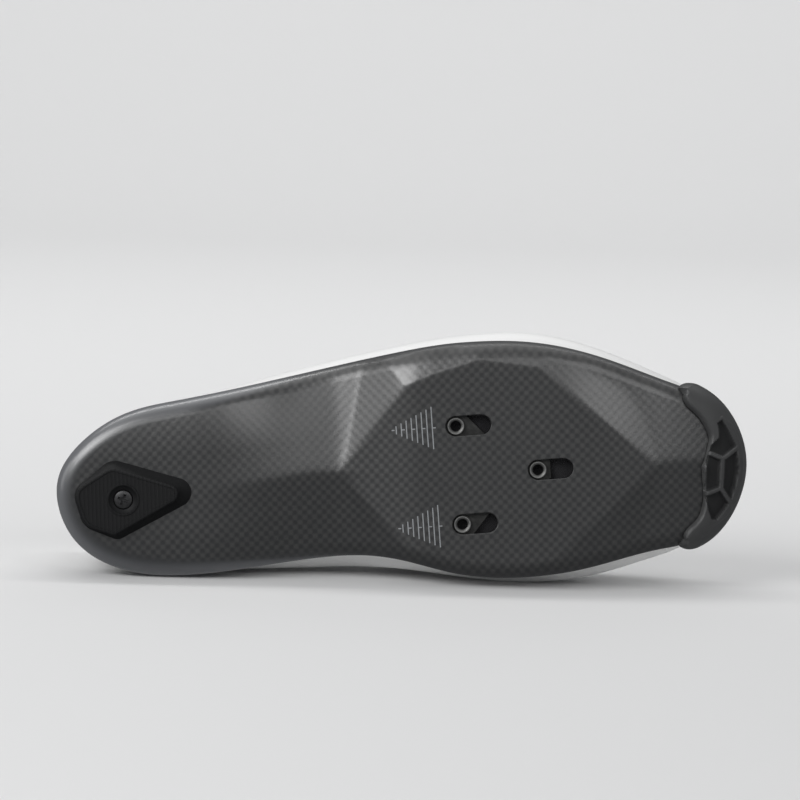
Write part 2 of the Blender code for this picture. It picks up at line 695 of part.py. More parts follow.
def make_heel_pad():
    """Kite-shaped rubber pad with unevenly sloped sides and a sunk screw hole."""
    foot, face, chamfered = [], [], []
    for _, forward, inner, radius, back, aside, smaller in HEEL_PAD:
        x, y, r = forward * HEEL_WIDTH, inner * HEEL_WIDTH, radius * HEEL_WIDTH
        foot.append((x, y, r))
        face.append((x - back * PAD_DRAFT, y + aside * PAD_DRAFT, r - smaller * PAD_DRAFT))
        chamfered.append((*face[-1][:2], face[-1][2] - PAD_CHAMFER))
    loops = [
        (stretched_round(chamfered, 24), 0.0),
        (stretched_round(face, 24), PAD_CHAMFER),
        (stretched_round(foot, 24), HEEL_UP - GAP),
    ]
    pad = stacked("heel_pad", loops, finish("pad rubber", (0.020, 0.020, 0.021), 0.75))
    seat = SCREW_HEAD_RADIUS + GAP
    sink = [
        (circle(SCREW_AT, SINK_RADIUS + PAD_CHAMFER), -PAD_CHAMFER),
        (circle(SCREW_AT, seat), SINK_RADIUS - seat),
        (circle(SCREW_AT, seat), SINK_DEPTH),
        (circle(SCREW_AT, SCREW_RADIUS + GAP), SINK_DEPTH),
        (circle(SCREW_AT, SCREW_RADIUS + GAP), HEEL_UP + GAP),
    ]
    cut(pad, as_tool(stacked("screw sink cutter", sink, None)))
    return pad


def make_screw():
    """Pan head with a cross recess, on a shank that reaches into the sole."""
    top = SINK_DEPTH - GAP
    profile = [
        (circle(SCREW_AT, SCREW_HEAD_RADIUS * 0.82), top - SCREW_HEAD_THICK),
        (circle(SCREW_AT, SCREW_HEAD_RADIUS), top - SCREW_HEAD_THICK * 0.6),
        (circle(SCREW_AT, SCREW_HEAD_RADIUS), top),
        (circle(SCREW_AT, SCREW_RADIUS), top),
        (circle(SCREW_AT, SCREW_RADIUS), HEEL_UP + SCREW_BITE),
    ]
    screw = stacked("heel_pad_screw", profile, finish("blackened steel", (0.10, 0.10, 0.11), 0.4, 1.0))
    for number, turn in enumerate((0.0, math.pi / 2), start=1):
        bar = [(a * RECESS_REACH, b * RECESS_HALF_WIDTH) for a, b in ((-1, -1), (1, -1), (1, 1), (-1, 1))]
        c, s = math.cos(turn + RECESS_TURN), math.sin(turn + RECESS_TURN)
        arm = [(SCREW_AT[0] + c * a - s * b, SCREW_AT[1] + s * a + c * b) for a, b in bar]
        cut(screw, as_tool(stacked(f"recess cutter {number}", [(arm, 0.0), (arm, top - RECESS_FLOOR)], None)))
    return screw


def make_nut_plate():
    """Steel plate with three threaded bosses; it slides along the slots under the insole."""
    places = [cleat_point(a, b) for a, b in THREADS]
    half = [(a * BOLT_ALONG + c * PLATE_CORNER, b * BOLT_ACROSS + d * PLATE_CORNER)
            for _, a, b, c, d in PLATE_OUTLINE]
    loop = [cleat_point(a, b) for a, b in half] + [cleat_point(a, -b) for a, b in reversed(half)]
    plate = stacked("cleat_nut_plate", [(loop, PLATE_UP), (loop, PLATE_UP + PLATE_THICK)],
                    finish("zinc-plated steel", (0.62, 0.62, 0.60), 0.3, 1.0))
    for number, place in enumerate(places, start=1):
        boss = circle(place, BOSS_RADIUS)
        join(plate, as_tool(stacked(f"boss {number}", [(boss, PLATE_UP - BOSS_BELOW),
                                                        (boss, PLATE_UP + PLATE_THICK / 2)], None)))
    for number, place in enumerate(places, start=1):
        bore = circle(place, THREAD_RADIUS)
        cut(plate, as_tool(stacked(f"thread cutter {number}", [(bore, 0.0), (bore, PLATE_UP + FLOOR)], None)))
    slide = bpy.data.objects.new("cleat slide", None)
    PARTS.objects.link(slide)
    slide.parent = SHOE
    slide.location = (*cleat_point(0.0, 0.0), PLATE_UP)
    slide.rotation_euler = (0.0, 0.0, CLEAT_TURN)
    bpy.context.view_layer.update()
    plate.parent = slide
    plate.matrix_parent_inverse = slide.matrix_local.inverted()
    return plate


def lay_down():
    """Turns the shoe onto its inner side and sets it on z = 0, centred over the origin."""
    stand_to_side = Matrix(((1, 0, 0), (0, 0, 1), (0, -1, 0))).to_4x4()
    turn = Matrix.Rotation(-LIE_YAW, 4, "Y")
    roll = Matrix.Rotation(-LIE_ROLL, 4, "X")
    SHOE.matrix_world = roll @ turn @ stand_to_side
    bpy.context.view_layer.update()
    graph = bpy.context.evaluated_depsgraph_get()
    points = []
    for item in PARTS.objects:
        if item.type == "MESH":
            made = item.evaluated_get(graph)
            points += [item.matrix_world @ v.co for v in made.data.vertices]
    spots = np.array(points)
    low, high = spots.min(axis=0), spots.max(axis=0)
    middle = 0.5 * (low + high)
    SHOE.matrix_world = Matrix.Translation((-middle[0], -middle[1], -low[2])) @ SHOE.matrix_world
    bpy.context.view_layer.update()


for old in list(bpy.data.objects):
    bpy.data.objects.remove(old)
PARTS = bpy.data.collections.new("cycling shoe")
TOOLS = bpy.data.collections.new("cutters")
bpy.context.scene.collection.children.link(PARTS)
bpy.context.scene.collection.children.link(TOOLS)
SHOE = bpy.data.objects.new("shoe frame", None)
PARTS.objects.link(SHOE)

ROUND = Outline(np.arange(SPOKES) * len(Section.rows) / SPOKES)
LAST = last_surface(ROUND)
make_sole(ROUND)
make_upper(ROUND)
make_insole(ROUND)
make_tongue(LAST)
for strap_name in STRAPS:
    make_strap(LAST, strap_name)
make_toe_pad()
make_heel_pad()
make_screw()
make_nut_plate()
lay_down()
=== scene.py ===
"""A right road cycling shoe lying on its inner side, dressed for its picture.

The shoe is shaped in a shoemaker's frame: x runs from the heel's back to the toe, y points to the inner side
and z goes up from the heel pad's face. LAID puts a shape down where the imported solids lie. Lengths are in
metres, except where a name says otherwise.
"""

import math

import bmesh
import bpy
import numpy as np
from mathutils import Matrix, Vector
from mathutils.bvhtree import BVHTree
from mathutils.kdtree import KDTree


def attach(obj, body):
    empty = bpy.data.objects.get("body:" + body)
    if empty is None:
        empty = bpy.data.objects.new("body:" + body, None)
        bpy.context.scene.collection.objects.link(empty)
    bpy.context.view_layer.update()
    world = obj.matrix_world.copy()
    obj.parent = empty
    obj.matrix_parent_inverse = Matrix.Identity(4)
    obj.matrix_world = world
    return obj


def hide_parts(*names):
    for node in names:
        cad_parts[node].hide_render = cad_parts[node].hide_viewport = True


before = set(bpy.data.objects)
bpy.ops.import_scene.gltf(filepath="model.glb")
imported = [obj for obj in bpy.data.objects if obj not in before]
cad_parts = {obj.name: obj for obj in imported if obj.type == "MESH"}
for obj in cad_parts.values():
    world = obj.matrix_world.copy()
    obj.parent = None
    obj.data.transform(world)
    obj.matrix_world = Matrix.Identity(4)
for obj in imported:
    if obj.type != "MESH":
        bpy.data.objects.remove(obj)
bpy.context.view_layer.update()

# How the shoe lies: turned about its sole's normal, rolled onto its inner side, its heel's back put here.
LIE_YAW = math.radians(3.46)
LIE_ROLL = math.radians(4.74)
HEEL_BACK = Vector((-0.141130, -0.047767, 0.033728))
STAND_TO_SIDE = Matrix(((1, 0, 0), (0, 0, 1), (0, -1, 0))).to_4x4()
TURN = Matrix.Rotation(-LIE_ROLL, 4, "X") @ Matrix.Rotation(-LIE_YAW, 4, "Y") @ STAND_TO_SIDE
LAID = Matrix.Translation(HEEL_BACK) @ TURN


# The view and the light. The camera looks at the sole a little from above, rolled as the picture is, and
# stands over a plain pale floor that sweeps up into its backdrop.
VIEW_CENTER = Vector((0.1414, -0.0340, 0.0060))
VIEW_UP = math.radians(6.64)
VIEW_ROLL = math.radians(1.64)
VIEW_DISTANCE = 2.00
VIEW_WIDTH = 0.3258
SENSOR_MM = 36.0
FLOOR_HALF_WIDTH = 3.0
FLOOR_FRONT = -3.0
FLOOR_REAR = 1.6
SWEEP_RADIUS = 0.8
SWEEP_STEPS = 12
BACKDROP_TOP = 2.6
SKY_COLOR = (0.95, 0.97, 1.0, 1.0)
SKY_STRENGTH = 0.18

# The soft rectangular lamps: each one's place, what it is aimed at, its size across and along, and its watts
LAMPS = (
    ("key", (-1.10, -1.02, 1.15), (0.0, 0.0, 0.04), (1.1, 0.75), 11.0),
    ("left key", (-0.78, -1.22, 0.74), (0.0, 0.0, 0.04), (0.8, 0.45), 4.0),
    ("middle key", (0.0, -1.45, 0.74), (0.0, 0.0, 0.04), (0.8, 0.3), 1.0),
    ("right key", (0.80, -1.22, 0.86), (0.05, 0.0, 0.05), (0.6, 0.7), 3.3),
    ("left strip", (-1.65, -0.45, 0.50), (-0.05, 0.0, 0.05), (0.7, 0.9), 2.4),
    ("overhead", (0.0, 0.15, 1.65), (0.0, 0.05, 0.0), (2.2, 1.4), 5.2),
    ("backdrop", (0.0, 0.60, 1.90), (0.0, 2.40, 0.25), (3.2, 0.5), 34.0),
)


class Reading:
    """One output of a node; arithmetic on it adds Math nodes to its tree."""

    def __init__(self, nodes, socket):
        self.nodes = nodes
        self.socket = socket

    def math(self, operation, *others):
        return self.nodes.node("ShaderNodeMath", {"operation": operation}, self, *others)

    def __add__(self, other):
        return self.math("ADD", other)

    def __sub__(self, other):
        return self.math("SUBTRACT", other)

    def __rsub__(self, other):
        return self.nodes.node("ShaderNodeMath", {"operation": "SUBTRACT"}, other, self)

    def __mul__(self, other):
        return self.math("MULTIPLY", other)

    def __truediv__(self, other):
        return self.math("DIVIDE", other)

    __radd__ = __add__
    __rmul__ = __mul__

    def sine(self):
        return self.math("SINE")

    def grown(self, start, end):
        """0 where the reading is at start and 1 where it is at end, eased."""
        settings = {"interpolation_type": "SMOOTHSTEP"}
        return self.nodes.node("ShaderNodeMapRange", settings, self, start, end, 0.0, 1.0)


class Nodes:
    """A node tree that is written as expressions."""

    def node(self, kind, settings, *values, output=0, **named):
        """Adds a node and sets it up; a socket takes a number, a reading or a list of readings."""
        made = self.tree.nodes.new(kind)
        for key, value in settings.items():
            setattr(made, key, value)
        pairs = [(k, v) for k, v in enumerate(values) if v is not None]
        pairs += [(key.replace("_", " "), value) for key, value in named.items()]
        for key, value in pairs:
            socket = made.inputs[key]
            if isinstance(value, (Reading, list)):
                for reading in value if isinstance(value, list) else [value]:
                    self.tree.links.new(reading.socket, socket)
            else:
                socket.default_value = value
        return Reading(self, made.outputs[output])

    def vector(self, x, y, z):
        return self.node("ShaderNodeCombineXYZ", {}, x, y, z)

    def parts(self, spot):
        return [self.node("ShaderNodeSeparateXYZ", {}, spot, output=k) for k in range(3)]


class Finish(Nodes):
    """A Principled material; sockets that stay the same all over take their numbers directly."""

    def __init__(self, name, color, roughness, **fixed):
        self.material = bpy.data.materials.new(name)
        self.material.use_nodes = True
        self.tree = self.material.node_tree
        self.shader = self.tree.nodes["Principled BSDF"]
        self.shader.inputs["Base Color"].default_value = (*color, 1.0)
        self.shader.inputs["Roughness"].default_value = roughness
        for key, value in fixed.items():
            self.shader.inputs[key.replace("_", " ").title().replace("Ior", "IOR")].default_value = value

    def place(self):
        """The surface's place in the shoe's own frame."""
        spot = self.node("ShaderNodeTexCoord", {}, output="Object")
        return self.node("ShaderNodeMapping", {"vector_type": "TEXTURE"}, spot, HEEL_BACK, TURN.to_euler())

    def check(self, along, across, long_pitch, cross_pitch):
        """Crossed waves, which stand for what is woven or knitted, with a pitch each way."""
        return (along * (math.tau / long_pitch)).sine() * (across * (math.tau / cross_pitch)).sine()

    def noise(self, spot, scale, detail=2.0):
        """Soft noise of about this many spots a metre."""
        return self.node("ShaderNodeTexNoise", {}, spot, None, scale, detail)

    def grain(self, spot, scale):
        """Pebbles: the distance to the nearest cell's middle, with this many cells a metre."""
        return self.node("ShaderNodeTexVoronoi", {}, spot, None, scale)

    def mix(self, share, first, second):
        """Between two colours or colour readings."""
        made = self.tree.nodes.new("ShaderNodeMix")
        made.data_type = "RGBA"
        for key, value in ((0, share), (6, first), (7, second)):
            if isinstance(value, Reading):
                self.tree.links.new(value.socket, made.inputs[key])
            else:
                made.inputs[key].default_value = value if key == 0 else (*value, 1.0)
        return Reading(self, made.outputs[2])

    def feed(self, key, reading):
        self.tree.links.new(reading.socket, self.shader.inputs[key])

    def bump(self, height, distance):
        """Relief: a height reading of 0 to 1 that is this many metres high."""
        made = self.node("ShaderNodeBump", {}, Height=height, Distance=distance, Strength=1.0)
        self.feed("Normal", made)

    def attribute(self, name):
        return self.node("ShaderNodeAttribute", {"attribute_name": name}, output="Fac")


def placed(name, data):
    """An object of the scene that holds this data."""
    item = bpy.data.objects.new(name, data)
    bpy.context.scene.collection.objects.link(item)
    return item


def make_camera():
    lens = bpy.data.cameras.new("view")
    lens.sensor_width = SENSOR_MM
    lens.lens = SENSOR_MM * VIEW_DISTANCE / VIEW_WIDTH
    camera = placed("view", lens)
    look = Matrix.Rotation(math.pi / 2 - VIEW_UP, 4, "X") @ Matrix.Rotation(VIEW_ROLL, 4, "Z")
    back = Matrix.Translation((0, 0, VIEW_DISTANCE))
    camera.matrix_world = Matrix.Translation(LAID @ VIEW_CENTER) @ look @ back
    bpy.context.scene.camera = camera


def make_floor():
    """The floor and its backdrop in one sheet, which the shiny parts don't mirror."""
    profile = [(FLOOR_FRONT, 0.0), (FLOOR_REAR, 0.0)]
    for k in range(1, SWEEP_STEPS + 1):
        angle = math.pi / 2 * k / SWEEP_STEPS
        profile.append((FLOOR_REAR + SWEEP_RADIUS * math.sin(angle), SWEEP_RADIUS * (1 - math.cos(angle))))
    profile.append((FLOOR_REAR + SWEEP_RADIUS, BACKDROP_TOP))
    points = [(side * FLOOR_HALF_WIDTH, y, z) for y, z in profile for side in (-1, 1)]
    faces = [(2 * k, 2 * k + 1, 2 * k + 3, 2 * k + 2) for k in range(len(profile) - 1)]
    mesh = bpy.data.meshes.new("floor")
    mesh.from_pydata(points, [], faces)
    mesh.shade_smooth()
    floor = placed("floor", mesh)
    mesh.materials.append(Finish("pale paper", (0.76, 0.76, 0.76), 0.9, specular_ior_level=0.1).material)
    floor.visible_glossy = False


def make_lamp(name, place, aim, size, power):
    lamp = bpy.data.lights.new(name, "AREA")
    lamp.shape = "RECTANGLE"
    lamp.size, lamp.size_y = size
    lamp.energy = power
    item = placed(name, lamp)
    item.location = place
    item.rotation_euler = (Vector(aim) - Vector(place)).to_track_quat("-Z", "Y").to_euler()


make_camera()
make_floor()
for lamp in LAMPS:
    make_lamp(*lamp)
world = bpy.data.worlds.new("studio")
world.use_nodes = True
world.node_tree.nodes["Background"].inputs["Color"].default_value = SKY_COLOR
world.node_tree.nodes["Background"].inputs["Strength"].default_value = SKY_STRENGTH
bpy.context.scene.world = world
bpy.context.scene.view_settings.view_transform = "Standard"


# The sole. A one-piece carbon shell: woven cloth in a satin resin, keeled in the arch, with a raised
# platform for the cleat, an edge that curls up into a cup, three slots and a pocket for the nut plate.
LENGTH = 0.2797
BALL_WIDTH = 0.0967
HEEL_WIDTH = 0.0700
CUP_HEIGHT = 0.0200
HEEL_UP = 0.0050
ARCH_UP = 0.0106
SEAT_UP = 0.0035
TOE_SPRING = 0.0165
STEP_UP = 0.0025
SIDE_RISE = 0.16
TOE_SIDE_RISE = 0.10
PLATFORM_SLOPE = 0.38
FRONT_SLOPE = 0.20
FRONT_SLOPES = (0.56, 0.70)
FLOOR = 0.0026
RIM_WALL = 0.0018
CURL_IN = 0.0065
CURL_UP = 0.0055
INNER_CURL_IN = 0.0035
INNER_CURL_UP = 0.0030
GAP = 0.0003
HEEL_FRONT = 0.204
ARCH_TOP = 0.400
SEAT_REAR = 0.536
SEAT_FRONT = 0.740
KEEL_REAR = 0.190
SPINE_REAR = 0.130
SPINE_FRONT = 0.870
WIDENS = (0.15, 0.60)
STEP_GROWS = (0.42, 0.54)
STEP_ENDS = (0.90, 0.77)
SIDES_GROW = (0.19, 0.36)
SIDES_END = (0.56, 0.44)
TOE_SIDES_GROW = (0.77, 0.88)
KEEL_ASIDE = 0.054
KEEL_ROUND = 0.0015
HEEL_FLAT = 0.0120
HEEL_BEND = 0.130
HEEL_ENDS = (0.44, 0.26)
FLOOR_ROUND = 0.0060
CLEAT_AT = (0.1645, -0.0026)
CLEAT_TURN = math.radians(-2.1)
BOLT_ACROSS = 0.0401
BOLT_ALONG = 0.0322
SLOT_LENGTH = 0.0185
SLOT_WIDTH = 0.0082
PLATE_CORNER = 0.0068
THREADS = ((0.0, -BOLT_ACROSS / 2), (BOLT_ALONG, 0.0), (0.0, BOLT_ACROSS / 2))
TRAVEL = SLOT_LENGTH - SLOT_WIDTH
POCKET_UP = SEAT_UP + FLOOR
EDGE_ROUND = 0.0006
SLOT_CHAMFER = 0.0003
RIM_BEAD = 0.4 * RIM_WALL
TOW_WIDTH = 0.0020
TOW_HEIGHT = 0.00006
TOW_WAVER = 0.0004
BARE_RIM = 0.0052
BARE_FADE = 0.0040
BARE_FADE_AHEAD = 0.3
BARE_ENDS = (0.42, 0.10)
# How wide the rim band is: at the heel it is painted lighter as a painted highlight, and at the forefoot it
# is made duller
PAINTED_HIGHLIGHT_AND_DULL_RIM = 0.0075
DULL_GROWS = (0.34, 0.52)
SPOKES = 600
SOLE_RINGS = 96
SLOT_STEPS = 48
POCKET_STEPS = 40
SAME_POINT = 2e-6
BATCHES = 40


class Section:
    """One station around the last, inner side first; shares of the sizes in each column's name."""

    columns = (
        "along_length", "across_width", "rim_cup", "out_bulge", "out_up_cup",
        "edge_along_length", "edge_across_width", "edge_collar", "edge_instep", "lean", "full",
    )
    rows = {
        "heel back":          (0.000, 0.000, 1.00, -0.05, 0.70, 0.026, 0.000, 1.000, 0.000, 0.12, 0.40),
        "heel corner inner":  (0.023, 0.269, 0.96, -0.10, 0.70, 0.040, 0.213, 0.985, 0.000, 0.10, 0.40),
        "heel inner":         (0.086, 0.446, 0.86, -0.22, 0.66, 0.089, 0.372, 0.900, 0.000, 0.04, 0.36),
        "waist rear inner":   (0.179, 0.497, 0.75, -0.25, 0.62, 0.168, 0.452, 0.800, 0.000, 0.04, 0.34),
        "waist inner":        (0.293, 0.429, 0.65, 0.38, 0.62, 0.257, 0.400, 0.865, 0.000, 0.16, 0.34),
        "arch inner":         (0.404, 0.347, 0.65, 1.05, 0.66, 0.340, 0.262, 0.740, 0.250, 0.42, 0.33),
        "waist front inner":  (0.497, 0.339, 0.62, 0.95, 0.62, 0.408, 0.178, 0.200, 0.800, 0.52, 0.33),
        "ball rear inner":    (0.579, 0.392, 0.60, 0.42, 0.58, 0.455, 0.132, 0.000, 0.995, 0.62, 0.29),
        "ball inner":         (0.669, 0.416, 0.60, 0.55, 0.56, 0.522, 0.112, 0.000, 0.925, 0.70, 0.27),
        "toes inner":         (0.769, 0.388, 0.60, 0.88, 0.52, 0.590, 0.098, 0.000, 0.835, 0.78, 0.25),
        "toe side inner":     (0.869, 0.325, 0.60, 0.85, 0.46, 0.650, 0.084, 0.000, 0.772, 0.85, 0.25),
        "toe corner inner":   (0.953, 0.253, 0.60, 0.20, 0.34, 0.694, 0.052, 0.000, 0.734, 0.92, 0.17),
        "toe tip":            (1.000, -0.016, 0.60, -0.10, 0.30, 0.712, -0.016, 0.000, 0.722, 0.96, 0.13),
        "toe corner outer":   (0.967, -0.279, 0.60, 0.20, 0.34, 0.694, -0.092, 0.000, 0.734, 0.92, 0.15),
        "toe side outer":     (0.894, -0.395, 0.60, 0.58, 0.44, 0.650, -0.130, 0.000, 0.768, 0.85, 0.20),
        "toes outer":         (0.794, -0.511, 0.60, 0.62, 0.48, 0.590, -0.148, 0.000, 0.828, 0.78, 0.22),
        "ball outer":         (0.690, -0.579, 0.60, 0.66, 0.50, 0.522, -0.162, 0.000, 0.910, 0.70, 0.27),
        "ball rear outer":    (0.590, -0.583, 0.60, 0.50, 0.54, 0.455, -0.180, 0.000, 0.985, 0.62, 0.28),
        "waist front outer":  (0.493, -0.567, 0.62, 0.42, 0.58, 0.405, -0.230, 0.200, 0.785, 0.52, 0.29),
        "arch outer":         (0.393, -0.556, 0.66, 0.40, 0.62, 0.337, -0.318, 0.740, 0.225, 0.42, 0.31),
        "waist outer":        (0.286, -0.547, 0.68, 0.20, 0.62, 0.255, -0.405, 0.825, 0.000, 0.20, 0.34),
        "waist rear outer":   (0.179, -0.517, 0.75, -0.10, 0.60, 0.168, -0.430, 0.765, 0.000, 0.10, 0.36),
        "heel outer":         (0.089, -0.430, 0.86, -0.15, 0.62, 0.089, -0.358, 0.880, 0.000, 0.08, 0.36),
        "heel corner outer":  (0.023, -0.232, 0.96, -0.10, 0.70, 0.040, -0.200, 0.980, 0.000, 0.10, 0.40),
    }


# The raised cleat platform's corners, as shares of LENGTH and BALL_WIDTH, in order round it
PLATFORM = (
    ("rear apex", 0.413, -0.056),
    ("outer rear", 0.513, -0.412),
    ("outer rear bend", 0.557, -0.461),
    ("outer side", 0.623, -0.514),
    ("outer front", 0.709, -0.470),
    ("front apex", 0.878, -0.042),
    ("inner front", 0.729, 0.338),
    ("inner front bend", 0.691, 0.378),
    ("inner side", 0.612, 0.386),
    ("inner rear", 0.538, 0.333),
    ("inner rear bend", 0.506, 0.268),
    ("inner rear toward apex", 0.470, 0.144),
)


def smooth(share):
    """Smoothstep of a share, held at 0 and 1."""
    t = np.clip(share, 0.0, 1.0)
    return t * t * (3.0 - 2.0 * t)


def grown_by(x, span):
    """0 before a span of shares of LENGTH and 1 past it; a span written backwards falls from 1 to 0."""
    start, end = span
    return smooth((x / LENGTH - start) / (end - start))


def width_at(x):
    """The last's width, from the heel's to the ball's."""
    return HEEL_WIDTH + (BALL_WIDTH - HEEL_WIDTH) * grown_by(x, WIDENS)


def around(column, turns):
    """A column of the section table, read at any place round the last by a closed cubic B-spline."""
    values = np.array([row[Section.columns.index(column)] for row in Section.rows.values()])
    count = len(values)
    eye = np.eye(count)
    blend = (4.0 * eye + np.roll(eye, 1, axis=1) + np.roll(eye, -1, axis=1)) / 6.0
    control = np.linalg.solve(blend, values)
    first = np.floor(turns).astype(int)
    t = turns - first
    weights = ((1 - t) ** 3, 3 * t**3 - 6 * t**2 + 4, -3 * t**3 + 3 * t**2 + 3 * t + 1, t**3)
    return sum(w * control[(first + k - 1) % count] for k, w in enumerate(weights)) / 6.0


def spine_up(x):
    """Height of the sole's bottom along its middle: heel, arch, flat cleat seat and toe spring."""
    arch = (ARCH_UP - SEAT_UP) * grown_by(x, (SEAT_REAR, ARCH_TOP))
    heel = (HEEL_UP - ARCH_UP) * grown_by(x, (ARCH_TOP, HEEL_FRONT))
    ahead = np.clip((x / LENGTH - SEAT_FRONT) / (1.0 - SEAT_FRONT), 0.0, None)
    return SEAT_UP + arch + heel + TOE_SPRING * ahead**2


def keel_across(x):
    """The keel's own line, which drifts to the outer side from the heel pad to the platform."""
    return -KEEL_ASIDE * BALL_WIDTH * grown_by(x, (KEEL_REAR, ARCH_TOP))


def keel_up(x, y, round_off):
    """What the platform stands on: a keel in the arch, a low ridge in front, a flat heel with bent sides."""
    step = STEP_UP * grown_by(x, STEP_GROWS) * grown_by(x, STEP_ENDS)
    rise = SIDE_RISE * grown_by(x, SIDES_GROW) * grown_by(x, SIDES_END)
    rise = rise + TOE_SIDE_RISE * grown_by(x, TOE_SIDES_GROW)
    aside = np.sqrt((y - keel_across(x)) ** 2 + round_off**2) - round_off
    crown = np.maximum(aside - HEEL_FLAT, 0.0) ** 2 / (2.0 * HEEL_BEND) * grown_by(x, HEEL_ENDS)
    return spine_up(x) + step + rise * aside + crown


def outside_platform(x, y):
    """Distance out of the platform's outline, negative inside it; its corners run counter-clockwise."""
    corners = [(a * LENGTH, b * BALL_WIDTH) for _, a, b in PLATFORM]
    far = None
    for (ax, ay), (bx, by) in zip(corners, corners[1:] + corners[:1]):
        run = math.hypot(bx - ax, by - ay)
        out = ((x - ax) * (by - ay) - (y - ay) * (bx - ax)) / run
        far = out if far is None else np.maximum(far, out)
    return far


def bottom_up(x, y):
    """The carbon's bottom before its edge curls up, with the platform's edges just rounded."""
    outside = outside_platform(x, y)
    outside = 0.5 * (outside + np.sqrt(outside**2 + EDGE_ROUND**2))
    slope = PLATFORM_SLOPE + (FRONT_SLOPE - PLATFORM_SLOPE) * grown_by(x, FRONT_SLOPES)
    flank = spine_up(x) + slope * outside
    keel = keel_up(x, y, KEEL_ROUND)
    return 0.5 * (flank + keel - np.sqrt((flank - keel) ** 2 + (0.5 * EDGE_ROUND) ** 2))


def floor_up(x, y):
    """The sole's inner floor."""
    return keel_up(x, y, FLOOR_ROUND) + FLOOR


class Outline:
    """Points round the sole's edge, with outward normals and the spine's point that each faces."""

    def __init__(self, turns):
        self.turns = turns
        self.x, self.y = self.place(turns)
        step = 1e-3
        ahead, behind = self.place(turns + step), self.place(turns - step)
        tx, ty = ahead[0] - behind[0], ahead[1] - behind[1]
        size = np.hypot(tx, ty)
        self.nx, self.ny = -ty / size, tx / size
        mirror_x, _ = self.place(len(Section.rows) - turns)
        self.spine_x = np.clip(0.5 * (self.x + mirror_x), SPINE_REAR * LENGTH, SPINE_FRONT * LENGTH)
        self.spine_y = keel_across(self.spine_x)
        self.foot = bottom_up(self.x, self.y) + CURL_UP
        ahead = np.clip(self.x / LENGTH - SEAT_FRONT, 0.0, None)
        self.spring = 2.0 * TOE_SPRING * ahead / (1.0 - SEAT_FRONT) ** 2 / LENGTH

    def leaned(self, x, y, z):
        """A ring at these heights, tipped back over the toe so that walls stand square to the toe spring."""
        above = np.maximum(z - self.foot, 0.0)
        return ring(x - self.spring * above, y, z)

    @staticmethod
    def place(turns):
        x = around("along_length", turns) * LENGTH
        return x, around("across_width", turns) * width_at(x)

    def inset(self, distance):
        return self.x - distance * self.nx, self.y - distance * self.ny

    def toward_spine(self, distance, share):
        """A ring between the spine, at 0, and the line that lies inside the outline, at 1."""
        x, y = self.inset(distance)
        return self.spine_x + (x - self.spine_x) * share, self.spine_y + (y - self.spine_y) * share

    def rim_up(self):
        return spine_up(self.x) + around("rim_cup", self.turns) * CUP_HEIGHT

    def column(self, name):
        return around(name, self.turns)


def ring(x, y, z):
    return np.stack([x, y, np.broadcast_to(z, x.shape)], axis=-1)


def curled(inset):
    """How far the sole's edge curls up at a distance inside its outline."""
    out = np.clip(1.0 - inset / CURL_IN, 0.0, 1.0)
    return CURL_UP * (1.0 - np.sqrt(1.0 - out**2))


def quads(rows, columns, closed, start=0):
    """Faces of a grid of points that are stored row by row."""
    faces = []
    last = columns if closed else columns - 1
    for r in range(rows - 1):
        for c in range(last):
            d = (c + 1) % columns
            faces.append((start + r * columns + c, start + r * columns + d,
                          start + (r + 1) * columns + d, start + (r + 1) * columns + c))
    return faces


def shaded(mesh, sharp):
    """Smooth shading, apart from the edges that turn by more than this many degrees."""
    mesh.shade_smooth()
    mesh.set_sharp_from_angle(angle=math.radians(sharp))


def solid(name, points, faces, sharp=35.0):
    """A closed object with its doubles merged and its faces turned out, laid down where the shoe lies."""
    mesh = bpy.data.meshes.new(name)
    mesh.from_pydata(np.asarray(points).tolist(), [], faces)
    work = bmesh.new()
    work.from_mesh(mesh)
    bmesh.ops.remove_doubles(work, verts=work.verts, dist=SAME_POINT)
    bmesh.ops.dissolve_degenerate(work, dist=SAME_POINT, edges=work.edges)
    bmesh.ops.recalc_face_normals(work, faces=work.faces)
    work.to_mesh(mesh)
    work.free()
    mesh.transform(LAID)
    shaded(mesh, sharp)
    return placed(name, mesh)


def stretched_round(circles, steps):
    """The outline stretched round some circles, each (x, y, radius), with one corner for each direction."""
    points = []
    for k in range(steps):
        c, s = math.cos(math.tau * k / steps), math.sin(math.tau * k / steps)
        x, y, radius = max(circles, key=lambda item: item[0] * c + item[1] * s + item[2])
        points.append((x + radius * c, y + radius * s))
    return points


def circle(center, radius, steps=40):
    return stretched_round([(*center, radius)], steps)


def stacked(name, loops, sharp=35.0, capped=True):
    """A solid through level loops of the same count, each (points, height), with flat ends."""
    count = len(loops[0][0])
    points = [(x, y, z) for loop, z in loops for x, y in loop]
    faces = quads(len(loops), count, True)
    if capped:
        faces.append(tuple(range(count)))
        faces.append(tuple(range(len(points) - count, len(points))))
    return solid(name, points, faces, sharp)


def cleat_point(along, across):
    """A place in the cleat's own axes: along its slots from the rear threads, across to the inner side."""
    c, s = math.cos(CLEAT_TURN), math.sin(CLEAT_TURN)
    return CLEAT_AT[0] + c * along - s * across, CLEAT_AT[1] + s * along + c * across


def settled(item, steps):
    """Applies Boolean steps, each (operation, other), and leaves a plain mesh; the others are removed."""
    for operation, other in steps:
        modifier = item.modifiers.new(other.name, "BOOLEAN")
        modifier.operation = operation
        modifier.solver = "EXACT"
        modifier.object = other
    graph = bpy.context.evaluated_depsgraph_get()
    mesh = bpy.data.meshes.new_from_object(item.evaluated_get(graph))
    item.modifiers.clear()
    item.data = mesh
    for _, other in steps:
        bpy.data.objects.remove(other)
    return item


def own_frame(item):
    """A piece's points back in the shoe's own frame."""
    spots = np.empty(len(item.data.vertices) * 3)
    item.data.vertices.foreach_get("co", spots)
    back = np.array(LAID.inverted())
    return spots.reshape(-1, 3) @ back[:3, :3].T + back[:3, 3]


